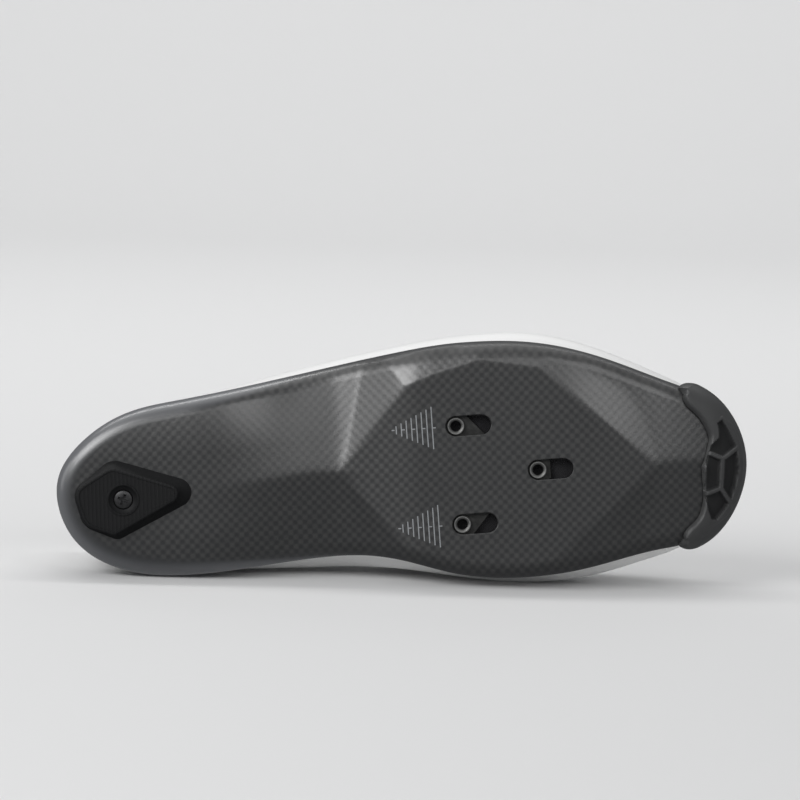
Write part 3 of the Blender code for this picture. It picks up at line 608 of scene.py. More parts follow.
def mark(item, name, values):
    """Stores a number for each point, for a finish to read."""
    item.data.attributes.new(name, "FLOAT", "POINT").data.foreach_set("value", np.asarray(values, np.float32))


def inside_outline(spots, edge):
    """How far points lie from the outline in plan, worked out in batches to spare memory."""
    return np.concatenate([
        np.hypot(batch[:, 0, None] - edge.x, batch[:, 1, None] - edge.y).min(axis=1)
        for batch in np.array_split(spots, BATCHES)
    ])


def make_sole():
    """Rings from the keel out over the bottom, round the edge, over the rim and back along the floor."""
    edge = Outline(np.arange(SPOKES) * len(Section.rows) / SPOKES)
    rings = []
    for share in np.linspace(0.0, 1.0, SOLE_RINGS):
        x, y = edge.toward_spine(CURL_IN, share)
        rings.append(ring(x, y, bottom_up(x, y)))
    for turn in np.linspace(0.1, 1.0, 10):
        inset = CURL_IN * (1 - math.sin(turn * math.pi / 2))
        x, y = edge.inset(inset)
        rings.append(ring(x, y, bottom_up(x, y) + curled(inset)))
    top = edge.rim_up()
    for share in (0.3, 0.6, 0.85):
        rings.append(edge.leaned(edge.x, edge.y, edge.foot + (top - edge.foot) * share))
    for turn in (0.0, 0.5, 1.0):
        x, y = edge.inset(RIM_BEAD * (1 - math.cos(turn * math.pi / 2)))
        rings.append(edge.leaned(x, y, top - RIM_BEAD * (1 - math.sin(turn * math.pi / 2))))
    x, y = edge.inset(RIM_WALL)
    foot = floor_up(x, y) + INNER_CURL_UP
    rings += [edge.leaned(x, y, top), edge.leaned(x, y, 0.5 * (foot + top))]
    for turn in (1.0, 0.75, 0.5, 0.25):
        angle = turn * math.pi / 2
        x, y = edge.inset(RIM_WALL + INNER_CURL_IN * (1 - math.sin(angle)))
        rings.append(edge.leaned(x, y, floor_up(x, y) + INNER_CURL_UP * (1 - math.cos(angle))))
    for share in (1.0, 0.8, 0.6, 0.4, 0.2, 0.0):
        x, y = edge.toward_spine(RIM_WALL + INNER_CURL_IN, share)
        rings.append(ring(x, y, floor_up(x, y)))
    sole = solid("sole_shell", np.concatenate(rings), quads(len(rings), SPOKES, True))
    cutters = []
    for number, (a, b) in enumerate(THREADS, start=1):
        loops = []
        chamfers = ((3.0, -2.0), (1.0, 0.0), (0.0, 1.0), (0.0, 20.0))
        for wider, up in chamfers:
            radius = SLOT_WIDTH / 2 + wider * SLOT_CHAMFER
            ends = [(*cleat_point(a + shift, b), radius) for shift in (0.0, TRAVEL)]
            loops.append((stretched_round(ends, SLOT_STEPS), SEAT_UP + up * SLOT_CHAMFER))
        cutters.append(("DIFFERENCE", stacked(f"slot {number}", loops)))
    corner = PLATE_CORNER + 2 * GAP
    ends = [(*cleat_point(a + shift, b), corner) for a, b in THREADS for shift in (0.0, TRAVEL)]
    pocket = stretched_round(ends, POCKET_STEPS)
    cutters.append(("DIFFERENCE", stacked("pocket", [(pocket, POCKET_UP), (pocket, POCKET_UP + CUP_HEIGHT)])))
    settled(sole, cutters)
    shaded(sole.data, 35.0)
    spots = own_frame(sole)
    inside = inside_outline(spots, edge)
    heel = grown_by(spots[:, 0], BARE_ENDS)
    fade = BARE_FADE * (BARE_FADE_AHEAD + (1.0 - BARE_FADE_AHEAD) * heel)
    mark(sole, "woven", smooth((inside - BARE_RIM * heel) / fade))
    # A painted highlight: the heel's curled rim band is marked here to be painted a lighter grey, standing in
    # for the grazing light that it catches.
    mark(sole, "pale", (1.0 - smooth(inside / PAINTED_HIGHLIGHT_AND_DULL_RIM)) * grown_by(spots[:, 0], HEEL_ENDS))
    mark(sole, "dull", (1.0 - np.clip(inside / PAINTED_HIGHLIGHT_AND_DULL_RIM, 0.0, 1.0)) * grown_by(spots[:, 0], DULL_GROWS))
    return sole


def carbon():
    """Plain-woven tows along and across the shoe under satin resin, the tows on top painted lighter as
    painted sheen; the heel's moulded rim is bare, with a painted highlight along it.
    """
    finish = Finish("carbon", (0.016, 0.016, 0.017), 0.42, specular_ior_level=1.0, coat_roughness=0.24)
    spot = finish.place()
    x, y, _ = finish.parts(spot)
    woven = finish.attribute("woven")
    waver = (finish.noise(spot, 60.0) - 0.5) * TOW_WAVER
    check = finish.check(x + waver, y + waver, 2 * TOW_WIDTH, 2 * TOW_WIDTH)
    over = check.grown(-0.8, 0.8)
    level = finish.node("ShaderNodeVectorMath", {"operation": "MULTIPLY"}, spot, (1, 1, 0))
    streaks = finish.noise(level, 240.0)
    # Painted sheen: the tows on top are painted lighter and the tows under them darker, standing in for the
    # light that tows catch by their direction.
    patchy = over * (0.35 + finish.noise(spot, 260.0) * 0.9)
    weave_and_painted_sheen = finish.mix(patchy, (0.0062, 0.0067, 0.0073), (0.0350, 0.0345, 0.0325))
    plain = (0.0135, 0.0145, 0.0165)
    # Painted highlight: the heel's rim band is painted a light grey where its curl catches grazing light.
    rim = finish.mix(finish.attribute("pale"), plain, (0.120, 0.124, 0.132))
    finish.feed("Base Color", finish.mix(woven * 0.85, rim, weave_and_painted_sheen))
    cloud = finish.noise(spot, 22.0, 3.0)
    dull = finish.attribute("dull")
    finish.feed("Roughness", 0.33 + cloud * 0.08 + over * woven * 0.06 + dull * 0.2)
    finish.feed("Coat Weight", 1.0 - dull * 0.9)
    relief = check.grown(-1.0, 1.0) * woven + streaks * 0.06
    finish.bump(relief, TOW_HEIGHT)
    return finish.material


sole = make_sole()
sole.data.materials.clear()
sole.data.materials.append(carbon())
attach(sole, "shoe")
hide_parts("sole")


# The scales behind the two rear threads, by which both cleats are set alike: fine bars across a dashed
# middle line, printed in thin pale ink on the carbon.
SCALE_BARS = 8
SCALE_PITCH = 0.0021
SCALE_REAR_OF_THREAD = 0.0096
SCALE_LONGEST = 0.0173
SCALE_SHORTER = 0.0020
SCALE_LINE = 0.00045
SCALE_DASH = 0.0012
SCALE_DASH_AHEAD = 0.0008
INK_THICK = 0.00006
SOCKET_KINDS = {
    int: "NodeSocketInt", float: "NodeSocketFloat",
    bpy.types.Object: "NodeSocketObject", bpy.types.Material: "NodeSocketMaterial",
}


class Repeat(Nodes):
    """A Geometry Nodes tree with named inputs, run once on an object, which keeps the result as its mesh."""

    def __init__(self, name, values):
        self.values = values
        self.tree = bpy.data.node_groups.new(name, "GeometryNodeTree")
        self.tree.interface.new_socket("Geometry", in_out="INPUT", socket_type="NodeSocketGeometry")
        for label, value in values.items():
            self.tree.interface.new_socket(label, in_out="INPUT", socket_type=SOCKET_KINDS[type(value)])
        self.tree.interface.new_socket("Geometry", in_out="OUTPUT", socket_type="NodeSocketGeometry")
        self.start = self.tree.nodes.new("NodeGroupInput")

    def given(self, label="Geometry"):
        return Reading(self, self.start.outputs[label])

    def at_points(self, points, instance, **named):
        return self.node("GeometryNodeInstanceOnPoints", {}, Points=points, Instance=instance, **named)

    def line(self, count, start, offset):
        settings = {"mode": "OFFSET"}
        return self.node("GeometryNodeMeshLine", settings, Count=count, Start_Location=start, Offset=offset)

    def plain(self, geometry):
        return self.node("GeometryNodeRealizeInstances", {}, geometry)

    def run(self, item, geometry, material):
        """Ends the tree with its material and leaves the item the mesh that it makes."""
        done = self.node("GeometryNodeSetMaterial", {}, self.plain(geometry), Material=material)
        end = self.tree.nodes.new("NodeGroupOutput")
        self.tree.links.new(done.socket, end.inputs[0])
        modifier = item.modifiers.new(self.tree.name, "NODES")
        modifier.node_group = self.tree
        for socket in self.tree.interface.items_tree:
            if socket.name in self.values:
                modifier[socket.identifier] = self.values[socket.name]
        settled(item, [])


def make_scales():
    """Both ladders, in the cleat's own axes, dropped onto the sole along its normal."""
    ink = Finish("pale ink", (0.27, 0.28, 0.29), 0.5)
    repeat = Repeat("cleat scales", {
        "Sole": sole, "Bars": SCALE_BARS, "Pitch": SCALE_PITCH, "Longest": SCALE_LONGEST,
        "Shorter": SCALE_SHORTER, "Line": SCALE_LINE, "Dash": SCALE_DASH, "Dash Ahead": SCALE_DASH_AHEAD,
        "From Thread": SCALE_REAR_OF_THREAD, "Spread": BOLT_ACROSS, "Thick": INK_THICK, "Ink": ink.material,
    })
    pitch, line, thick, count = (repeat.given(name) for name in ("Pitch", "Line", "Thick", "Bars"))
    cube = repeat.node("GeometryNodeMeshCube", {}, Size=(1, 1, 1), Vertices_X=3, Vertices_Y=9, Vertices_Z=2)
    number = repeat.node("GeometryNodeInputIndex", {})
    length = repeat.given("Longest") - number * repeat.given("Shorter")
    bars = repeat.line(count, (0, 0, 0), repeat.vector(pitch * -1.0, 0, 0))
    bars = repeat.at_points(bars, cube, Scale=repeat.vector(line, length, thick))
    dashes = repeat.line(count / 2 + 1, repeat.vector(repeat.given("Dash Ahead"), 0, 0),
                         repeat.vector(pitch * -2.0, 0, 0))
    dashes = repeat.at_points(dashes, cube, Scale=repeat.vector(repeat.given("Dash"), line, thick))
    ladder = repeat.plain(repeat.node("GeometryNodeJoinGeometry", {}, [bars, dashes]))
    spread = repeat.given("Spread")
    sides = repeat.line(2, repeat.vector(repeat.given("From Thread") * -1.0, spread * -0.5, 0),
                        repeat.vector(0, spread, 0))
    both = repeat.plain(repeat.at_points(sides, ladder))
    x, y, z = repeat.parts(repeat.node("GeometryNodeInputPosition", {}))
    target = repeat.node("GeometryNodeObjectInfo", {"transform_space": "RELATIVE"}, repeat.given("Sole"),
                         output="Geometry")
    hit = repeat.node("GeometryNodeRaycast", {}, target, Source_Position=repeat.vector(x, y, -SEAT_UP),
                      Ray_Direction=(0, 0, 1), Ray_Length=2 * CUP_HEIGHT, output="Hit Position")
    down = repeat.node("ShaderNodeVectorMath", {"operation": "ADD"}, hit, repeat.vector(0, 0, z))
    laid_on = repeat.node("GeometryNodeSetPosition", {}, both, Position=down)
    scales = placed("cleat_scales", bpy.data.meshes.new("cleat_scales"))
    scales.matrix_world = LAID @ Matrix.Translation((*CLEAT_AT, 0.0)) @ Matrix.Rotation(CLEAT_TURN, 4, "Z")
    bpy.context.view_layer.update()
    repeat.run(scales, laid_on, repeat.given("Ink"))
    scales.data.transform(scales.matrix_world)
    scales.matrix_world = Matrix.Identity(4)
    return scales


scales = make_scales()
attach(scales, "shoe")


# The nut plate. Zinc-plated steel with three threaded bosses; it slides along the slots from inside the
# shoe, and the cleat's bolts pull it against the sole.
PLATE_THICK = 0.0015
PLATE_EDGE = 0.0002
PLATE_MIDDLE = 0.4
PLATE_UP = POCKET_UP + GAP
BOSS_RADIUS = 0.00365
BOSS_BELOW = 0.0022
BOSS_CHAMFER = 0.0004
THREAD_RADIUS = 0.00245
THREAD_DEPTH = 0.00028
THREAD_PITCH = 0.0008
BOSS_HIGHLIGHT_FADE = 0.0002

# One half of the nut plate's outline: shares of BOLT_ALONG forward and of BOLT_ACROSS aside, then how many
# PLATE_CORNERs further forward and aside
PLATE_OUTLINE = (
    ("rear corner", 0.0, 0.5, -0.93, 0.33),
    ("rear bend", 0.0, 0.5, -0.59, 0.83),
    ("side", 0.0, 0.5, 0.19, 0.92),
    ("shoulder", 0.0, 0.5, 0.66, 0.60),
    ("waist", 0.59, 0.0, 0.0, 1.15),
    ("neck", 0.69, 0.0, 0.0, 0.90),
    ("front corner", 1.0, 0.0, 0.28, 0.82),
    ("front bend", 1.0, 0.0, 0.78, 0.53),
)


def shrunk(loop, middle, distance):
    """A loop drawn in toward a middle point by about a distance."""
    points = []
    for x, y in loop:
        share = distance / math.hypot(x - middle[0], y - middle[1])
        points.append((x - share * (x - middle[0]), y - share * (y - middle[1])))
    return points


def make_nut_plate():
    """The flat plate with its chamfered edge, then each boss joined to it and threaded right through."""
    half = [(a * BOLT_ALONG + c * PLATE_CORNER, b * BOLT_ACROSS + d * PLATE_CORNER)
            for _, a, b, c, d in PLATE_OUTLINE]
    loop = [cleat_point(a, b) for a, b in half] + [cleat_point(a, -b) for a, b in reversed(half)]
    small = shrunk(loop, cleat_point(PLATE_MIDDLE * BOLT_ALONG, 0.0), PLATE_EDGE)
    top = PLATE_UP + PLATE_THICK
    plate = stacked("cleat_plate", [(small, PLATE_UP), (loop, PLATE_UP + PLATE_EDGE),
                                    (loop, top - PLATE_EDGE), (small, top)])
    bottom = PLATE_UP - BOSS_BELOW
    steps = []
    for number, (a, b) in enumerate(THREADS, start=1):
        spot = cleat_point(a, b)
        boss = stacked(f"boss {number}", [
            (circle(spot, BOSS_RADIUS - BOSS_CHAMFER), bottom),
            (circle(spot, BOSS_RADIUS), bottom + BOSS_CHAMFER),
            (circle(spot, BOSS_RADIUS), PLATE_UP + PLATE_THICK / 2),
        ])
        mouth = THREAD_RADIUS + THREAD_DEPTH
        threads = [(circle(spot, mouth + 4 * THREAD_DEPTH), bottom - 3 * THREAD_DEPTH),
                   (circle(spot, mouth), bottom + THREAD_DEPTH)]
        turns = int((top - bottom) / THREAD_PITCH)
        for k in range(turns):
            height = bottom + THREAD_DEPTH + (k + 0.5) * THREAD_PITCH
            threads += [(circle(spot, THREAD_RADIUS - THREAD_DEPTH), height),
                        (circle(spot, mouth), height + THREAD_PITCH / 2)]
        threads.append((circle(spot, mouth), top + THREAD_PITCH))
        steps += [("UNION", boss), ("DIFFERENCE", stacked(f"thread {number}", threads))]
    settled(plate, steps)
    shaded(plate.data, 30.0)
    # Painted highlight: the bosses' chamfered ends are marked here to be painted brighter.
    mark(plate, "rubbed", smooth((bottom + BOSS_CHAMFER - own_frame(plate)[:, 2]) / BOSS_HIGHLIGHT_FADE))
    return plate


def zinc():
    """Dull zinc plating; the bosses' chamfered ends are painted brighter as a painted highlight."""
    finish = Finish("zinc-plated steel", (0.26, 0.26, 0.255), 0.42, metallic=0.9)
    spot = finish.place()
    cloud = finish.noise(spot, 420.0, 3.0)
    plated = finish.mix(cloud, (0.035, 0.035, 0.034), (0.11, 0.11, 0.107))
    # The bosses' ends are painted brighter: a painted highlight on their chamfers and faces.
    finish.feed("Base Color", finish.mix(finish.attribute("rubbed"), plated, (0.40, 0.40, 0.39)))
    finish.feed("Roughness", 0.32 + cloud * 0.2)
    finish.bump(finish.noise(spot, 2600.0), 0.00001)
    return finish.material


plate = make_nut_plate()
plate.data.materials.append(zinc())
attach(plate, "cleat_plate")
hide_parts("cleat_nut_plate")


# The heel pad. A hard-wearing black rubber kite under the heel, its face scored across, held by one sunk
# screw so that it can be changed when it is walked down.
PAD_DRAFT = 0.0012
PAD_ROUND = 0.0006
PAD_RIM = 0.0007
PAD_RIM_HIGH = 0.00030
SCREW_AT = (0.0276, 0.0028)
SINK_RADIUS = 0.0055
SINK_DEPTH = 0.0029
SINK_LIP = 0.0006
SCREW_HEAD_RADIUS = 0.00375
SCREW_RADIUS = 0.0020
SCORE_PITCH = 0.0016
SCORE_DEPTH = 0.00008
PAD_STEPS = 240

# The heel pad's corner circles: shares of HEEL_WIDTH forward, to the inner side and in radius. The sides
# slope unevenly, so last come how many PAD_DRAFTs the face's circle lies back and inward and is smaller
HEEL_PAD = (
    ("rear outer", 0.210, 0.020, 0.100, 0.0, 0.1, 0.7),
    ("rear inner", 0.255, 0.105, 0.120, 0.0, 0.0, 0.8),
    ("outer", 0.350, -0.075, 0.110, 0.6, 1.1, 1.3),
    ("tip", 0.705, 0.010, 0.084, 2.6, 0.3, 1.75),
    ("inner", 0.352, 0.205, 0.066, 1.0, -0.2, 1.4),
)


def pad_loop(sloped, smaller=0.0):
    """The heel pad's outline between its foot, 0, and its face, 1, drawn in by a distance."""
    circles = []
    for _, forward, inner, radius, back, aside, less in HEEL_PAD:
        x = forward * HEEL_WIDTH - sloped * back * PAD_DRAFT
        y = inner * HEEL_WIDTH + sloped * aside * PAD_DRAFT
        circles.append((x, y, radius * HEEL_WIDTH - sloped * less * PAD_DRAFT - smaller))
    return stretched_round(circles, PAD_STEPS)


def blended(first, second, share):
    return [(a + share * (c - a), b + share * (d - b)) for (a, b), (c, d) in zip(first, second)]


def make_heel_pad():
    """Loops from the pad's foot up its sides, over the border and face, and down the screw's sunk hole."""
    loops = [(pad_loop(0.0), HEEL_UP - GAP), (pad_loop(0.5), 0.5 * (HEEL_UP - GAP) + 0.5 * PAD_ROUND)]
    for turn in np.linspace(0.0, 1.0, 5):
        angle = turn * math.pi / 2
        loops.append((pad_loop(1.0, PAD_ROUND * (1 - math.cos(angle))), PAD_ROUND * (1 - math.sin(angle))))
    face = pad_loop(1.0, PAD_ROUND + PAD_RIM)
    loops += [(pad_loop(1.0, PAD_ROUND + 0.8 * PAD_RIM), 0.0), (face, PAD_RIM_HIGH)]
    ring_out = circle(SCREW_AT, SINK_RADIUS + 2 * SINK_LIP, PAD_STEPS)
    for share in (0.25, 0.5, 0.75, 1.0):
        loops.append((blended(face, ring_out, share), PAD_RIM_HIGH))
    head = SCREW_HEAD_RADIUS + GAP
    for radius, height in (
        (SINK_RADIUS + 1.6 * SINK_LIP, 0.0), (SINK_RADIUS + 0.7 * SINK_LIP, 0.0), (SINK_RADIUS, SINK_LIP),
        (head, SINK_RADIUS - SCREW_HEAD_RADIUS - GAP), (head, SINK_DEPTH),
        (SCREW_RADIUS + GAP, SINK_DEPTH), (SCREW_RADIUS + GAP, HEEL_UP - GAP),
    ):
        loops.append((circle(SCREW_AT, radius, PAD_STEPS), height))
    loops.append(loops[0])
    return stacked("heel_pad_rubber", loops, 50.0, capped=False)


def heel_rubber():
    """Black rubber with fine scores across the face and a faint bloom."""
    finish = Finish("heel pad rubber", (0.006, 0.006, 0.0065), 0.55, specular_ior_level=0.3)
    spot = finish.place()
    x, _, z = finish.parts(spot)
    face = z.grown(PAD_ROUND, 0.5 * PAD_ROUND)
    scores = (x * (math.tau / SCORE_PITCH)).sine().grown(-0.2, 0.9)
    cloud = finish.noise(spot, 160.0, 3.0)
    finish.feed("Base Color", finish.mix(cloud, (0.004, 0.0042, 0.0048), (0.007, 0.0072, 0.0078)))
    finish.feed("Roughness", 0.5 + cloud * 0.18)
    finish.bump(scores * face + finish.grain(spot, 3200.0) * 0.3, SCORE_DEPTH)
    return finish.material


heel_pad = make_heel_pad()
heel_pad.data.materials.append(heel_rubber())
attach(heel_pad, "shoe")
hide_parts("heel_pad")


# The heel pad's screw. Blackened steel with a low domed head and a cross recess; its head lies sunk in the
# pad and its shank bites into the sole.
SCREW_HEAD_THICK = 0.0015
SCREW_DOME = 0.0004
RECESS_REACH = 0.0022
RECESS_HALF_WIDTH = 0.0005
RECESS_FLOOR = 0.0005
RECESS_TURN = 0.4
SCREW_BITE = 0.0020
SCREW_STEPS = 48


def make_screw():
    """The domed head and the shank as one turned form, with the cross cut in the head."""
    top = SINK_DEPTH - GAP
    front = top - SCREW_HEAD_THICK
    loops = []
    for share in (0.25, 0.5, 0.7, 0.85, 0.95):
        height = front + SCREW_DOME * share**4
        loops.append((circle(SCREW_AT, SCREW_HEAD_RADIUS * share, SCREW_STEPS), height))
    loops += [(circle(SCREW_AT, radius, SCREW_STEPS), height) for radius, height in (
        (SCREW_HEAD_RADIUS, front + 2 * SCREW_DOME), (SCREW_HEAD_RADIUS, top),
        (SCREW_RADIUS, top), (SCREW_RADIUS, HEEL_UP + SCREW_BITE),
    )]
    screw = stacked("heel_screw", loops, 40.0)
    arms = []
    for number, turn in enumerate((RECESS_TURN, RECESS_TURN + math.pi / 2), start=1):
        c, s = math.cos(turn), math.sin(turn)
        bars = []
        for share, height in ((1.15, 0.0), (1.0, front + SCREW_DOME), (0.7, top - RECESS_FLOOR)):
            bar = []
            for side_a, side_b in ((-1, -1), (1, -1), (1, 1), (-1, 1)):
                a, b = side_a * RECESS_REACH * share, side_b * RECESS_HALF_WIDTH * share
                bar.append((SCREW_AT[0] + c * a - s * b, SCREW_AT[1] + s * a + c * b))
            bars.append((bar, height))
        arms.append(("DIFFERENCE", stacked(f"recess {number}", bars)))
    settled(screw, arms)
    shaded(screw.data, 35.0)
    return screw


def blackened():
    finish = Finish("blackened steel", (0.06, 0.06, 0.063), 0.38, metallic=0.9)
    spot = finish.place()
    cloud = finish.noise(spot, 900.0, 3.0)
    finish.feed("Base Color", finish.mix(cloud, (0.045, 0.045, 0.048), (0.10, 0.10, 0.10)))
    finish.feed("Roughness", 0.3 + cloud * 0.22)
    finish.bump(finish.noise(spot, 3000.0), 0.000008)
    return finish.material


screw = make_screw()
screw.data.materials.append(blackened())
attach(screw, "shoe")
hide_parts("heel_pad_screw")


# The toe pad. A grey rubber bumper moulded over the toe's edge from arm to arm, with sunk cells between
# ribs so that it grips when the rider walks.
TOE_PAD_THICK = 0.0030
TOE_PAD_UP = 0.82
TOE_PAD_ROUND = 0.0014
TOE_ARM_ROUND = 0.22
CELL_DEPTH = 0.0018
CELL_SLOPE = 0.0007
RIB_HALF_WIDTH = 0.00060
BEAD_HIGH = 0.00022
BEAD_HALF_WIDTH = 0.0005
TOE_TIP_WIDE = 0.1
TOE_EASES = 12
TINY = 1e-12
TOE_TURNS = 380
TOE_ROWS = 84

# How far the toe pad reaches in from the toe's outline, from its outer arm to its inner arm
TOE_PAD = (
    ("outer arm's end", 13.64, 0.0062),
    ("outer arm", 13.40, 0.0074),
    ("outer corner", 13.00, 0.0086),
    ("outer cusp", 12.62, 0.0100),
    ("outer middle", 12.35, 0.0135),
    ("middle", 12.00, 0.0163),
    ("inner middle", 11.70, 0.0150),
    ("inner cusp", 11.35, 0.0110),
    ("inner corner", 11.05, 0.0082),
    ("inner arm", 10.72, 0.0068),
    ("inner arm's end", 10.53, 0.0060),
)

# The sunk field's outline, as shares of LENGTH and BALL_WIDTH, from its outer rear corner along the toe's
# edge and back along the pad's rear edge
CELL_FIELD = (
    (0.9768, -0.2254), (0.9864, -0.1789), (0.9968, -0.1127), (0.9996, -0.0476), (1.0004, -0.0031),
    (0.9950, 0.0620), (0.9878, 0.1189), (0.9782, 0.1634), (0.9642, 0.2048), (0.9553, 0.2006),
    (0.9503, 0.1613), (0.9485, 0.1220), (0.9467, 0.0827), (0.9485, 0.0186), (0.9503, -0.0465),
    (0.9542, -0.0848), (0.9578, -0.1169), (0.9693, -0.1479), (0.9696, -0.1799), (0.9678, -0.2099),
)

# The ribs between the cells, as a branching line: shares of LENGTH and BALL_WIDTH at both ends of each
RIBS = (
    ("outer fork to rear", 0.9750, -0.0569, 0.9553, -0.0848),
    ("outer fork to edge", 0.9750, -0.0569, 0.9968, -0.0972),
    ("between the forks", 0.9750, -0.0569, 0.9714, 0.0693),
    ("inner fork to rear", 0.9714, 0.0693, 0.9478, 0.0910),
    ("inner fork to edge", 0.9714, 0.0693, 0.9850, 0.1303),
)

# The thin bead that runs round the toe outside the sunk field, as shares of LENGTH and BALL_WIDTH
BEAD = (
    (0.9757, -0.2306), (0.9889, -0.1975), (1.0036, -0.0931), (1.0050, -0.0279), (1.0018, 0.0424),
    (0.9921, 0.1262), (0.9782, 0.1830), (0.9642, 0.2141),
)


def from_line(x, y, ax, ay, bx, by):
    """Distance from the line between two points, given as shares of LENGTH and BALL_WIDTH."""
    ax, bx, ay, by = ax * LENGTH, bx * LENGTH, ay * BALL_WIDTH, by * BALL_WIDTH
    dx, dy = bx - ax, by - ay
    t = np.clip(((x - ax) * dx + (y - ay) * dy) / (dx * dx + dy * dy), 0.0, 1.0)
    return np.hypot(x - ax - t * dx, y - ay - t * dy)


def inside_field(x, y):
    """Distance inside the sunk field's outline, negative outside it."""
    near = None
    inside = np.zeros(x.shape, bool)
    for (ax, ay), (bx, by) in zip(CELL_FIELD, CELL_FIELD[1:] + CELL_FIELD[:1]):
        away = from_line(x, y, ax, ay, bx, by)
        near = away if near is None else np.minimum(near, away)
        ax, bx, ay, by = ax * LENGTH, bx * LENGTH, ay * BALL_WIDTH, by * BALL_WIDTH
        if ay != by:
            inside ^= ((ay > y) != (by > y)) & (x < (bx - ax) * (y - ay) / (by - ay) + ax)
    return np.where(inside, near, -near)


def along_rows(grid):
    """Distance along each column of a grid of points, from its first row."""
    steps = np.linalg.norm(np.diff(grid, axis=0), axis=2)
    return np.concatenate([np.zeros((1, grid.shape[1])), np.cumsum(steps, axis=0)])


def to_border(grid):
    """Distance along a grid of points from the nearest part of its border."""
    down = along_rows(grid)
    across = along_rows(grid.transpose(1, 0, 2)).T
    return np.minimum(np.minimum(down, down[-1] - down), np.minimum(across, across[:, -1:] - across))


def unit(vectors):
    """The same directions at length 1."""
    return vectors / np.maximum(np.linalg.norm(vectors, axis=-1, keepdims=True), TINY)


def outward(grid, closed=False):
    """Unit normals of a grid of points, to the left of its columns as the rows rise."""
    if closed:
        across = np.roll(grid, -1, axis=1) - np.roll(grid, 1, axis=1)
    else:
        across = np.gradient(grid, axis=1)
    return unit(np.cross(across, np.gradient(grid, axis=0)))


def quarter_round(distance, radius):
    """How much of its full height a rounded edge has at a distance in from it."""
    out = np.clip(1.0 - distance / radius, 0.0, 1.0)
    return np.sqrt(1.0 - out**2)


def sheet_solid(name, lower, upper, sharp):
    """A closed solid between two grids whose borders meet."""
    rows, columns = lower.shape[:2]
    points = np.concatenate([lower.reshape(-1, 3), upper.reshape(-1, 3)])
    faces = quads(rows, columns, False) + quads(rows, columns, False, rows * columns)
    return solid(name, points, faces, sharp)


def sunk_at(x, y):
    """1 on a cell's floor, and 0 on the ribs and outside the sunk field."""
    ribs = np.min([from_line(x, y, *row[1:]) for row in RIBS], axis=0) - RIB_HALF_WIDTH
    return smooth(np.minimum(inside_field(x, y), ribs) / CELL_SLOPE)


def make_toe_pad():
    """The sole's skin lifted by the pad's thickness, which rounds off all round and sinks between ribs."""
    first, last = TOE_PAD[0][1], TOE_PAD[-1][1]
    turns = np.linspace(first, last, TOE_TURNS)
    edge = Outline(turns)
    reach = np.interp(turns, [row[1] for row in reversed(TOE_PAD)], [row[2] for row in reversed(TOE_PAD)])
    kernel = np.hanning(2 * TOE_EASES + 1)
    reach = np.convolve(np.pad(reach, TOE_EASES, mode="edge"), kernel / kernel.sum(), mode="valid")
    to_end = np.minimum(first - turns, turns - last)
    tip = quarter_round(to_end, TOE_ARM_ROUND)
    wide = TOE_TIP_WIDE + (1.0 - TOE_TIP_WIDE) * tip
    rows = []
    bottom_rows = TOE_ROWS * 2 // 3
    for share in 1.0 - np.linspace(0.0, 1.0, bottom_rows):
        inset = reach * (0.5 + (share - 0.5) * wide)
        x, y = edge.inset(inset)
        rows.append(ring(x, y, bottom_up(x, y) + curled(inset)))
    for share in np.linspace(0.0, TOE_PAD_UP, TOE_ROWS - bottom_rows + 1)[1:]:
        height = (edge.rim_up() - edge.foot) * share * tip
        x, y = edge.inset(0.5 * reach * (1.0 - wide))
        rows.append(edge.leaned(x, y, edge.foot + height))
    skin = np.stack(rows)
    normal = outward(skin)
    if normal[0, TOE_TURNS // 2, 2] > 0:
        normal = -normal
    face = skin + (GAP + TOE_PAD_THICK) * normal
    x, y = face[:, :, 0], face[:, :, 1]
    bead = np.min([from_line(x, y, *a, *b) for a, b in zip(BEAD, BEAD[1:])], axis=0)
    thick = TOE_PAD_THICK * quarter_round(to_border(skin), TOE_PAD_ROUND)
    thick = thick - CELL_DEPTH * sunk_at(x, y) + BEAD_HIGH * smooth(1.5 - bead / BEAD_HALF_WIDTH)
    lower = skin + GAP * normal
    upper = lower + np.maximum(thick, 0.0)[:, :, None] * normal
    pad = sheet_solid("toe_pad_rubber", lower, upper, 60.0)
    x, y, _ = own_frame(pad).T
    # The cells' floors, which the finish paints nearly black as painted shade and makes rougher.
    mark(pad, "sunk", sunk_at(x, y))
    return pad


def toe_rubber():
    """Dark grey rubber with the fine spark texture of its mould; the sunk cells' floors are painted nearly
    black as painted shade.
    """
    finish = Finish("toe pad rubber", (0.018, 0.018, 0.019), 0.50, specular_ior_level=0.7)
    spot = finish.place()
    cloud = finish.noise(spot, 130.0, 3.0)
    sunk = finish.attribute("sunk")
    face = finish.mix(cloud, (0.038, 0.0385, 0.0392), (0.053, 0.0535, 0.054))
    # Painted shade: the sunk cells' floors are painted nearly black.
    finish.feed("Base Color", finish.mix(sunk, face, (0.005, 0.0053, 0.0058)))
    finish.feed("Roughness", 0.45 + cloud * 0.12 + sunk * 0.3)
    finish.bump(finish.noise(spot, 2400.0, 3.0), 0.00003)
    return finish.material


toe_pad = make_toe_pad()
toe_pad.data.materials.append(toe_rubber())
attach(toe_pad, "shoe")
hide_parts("toe_pad")


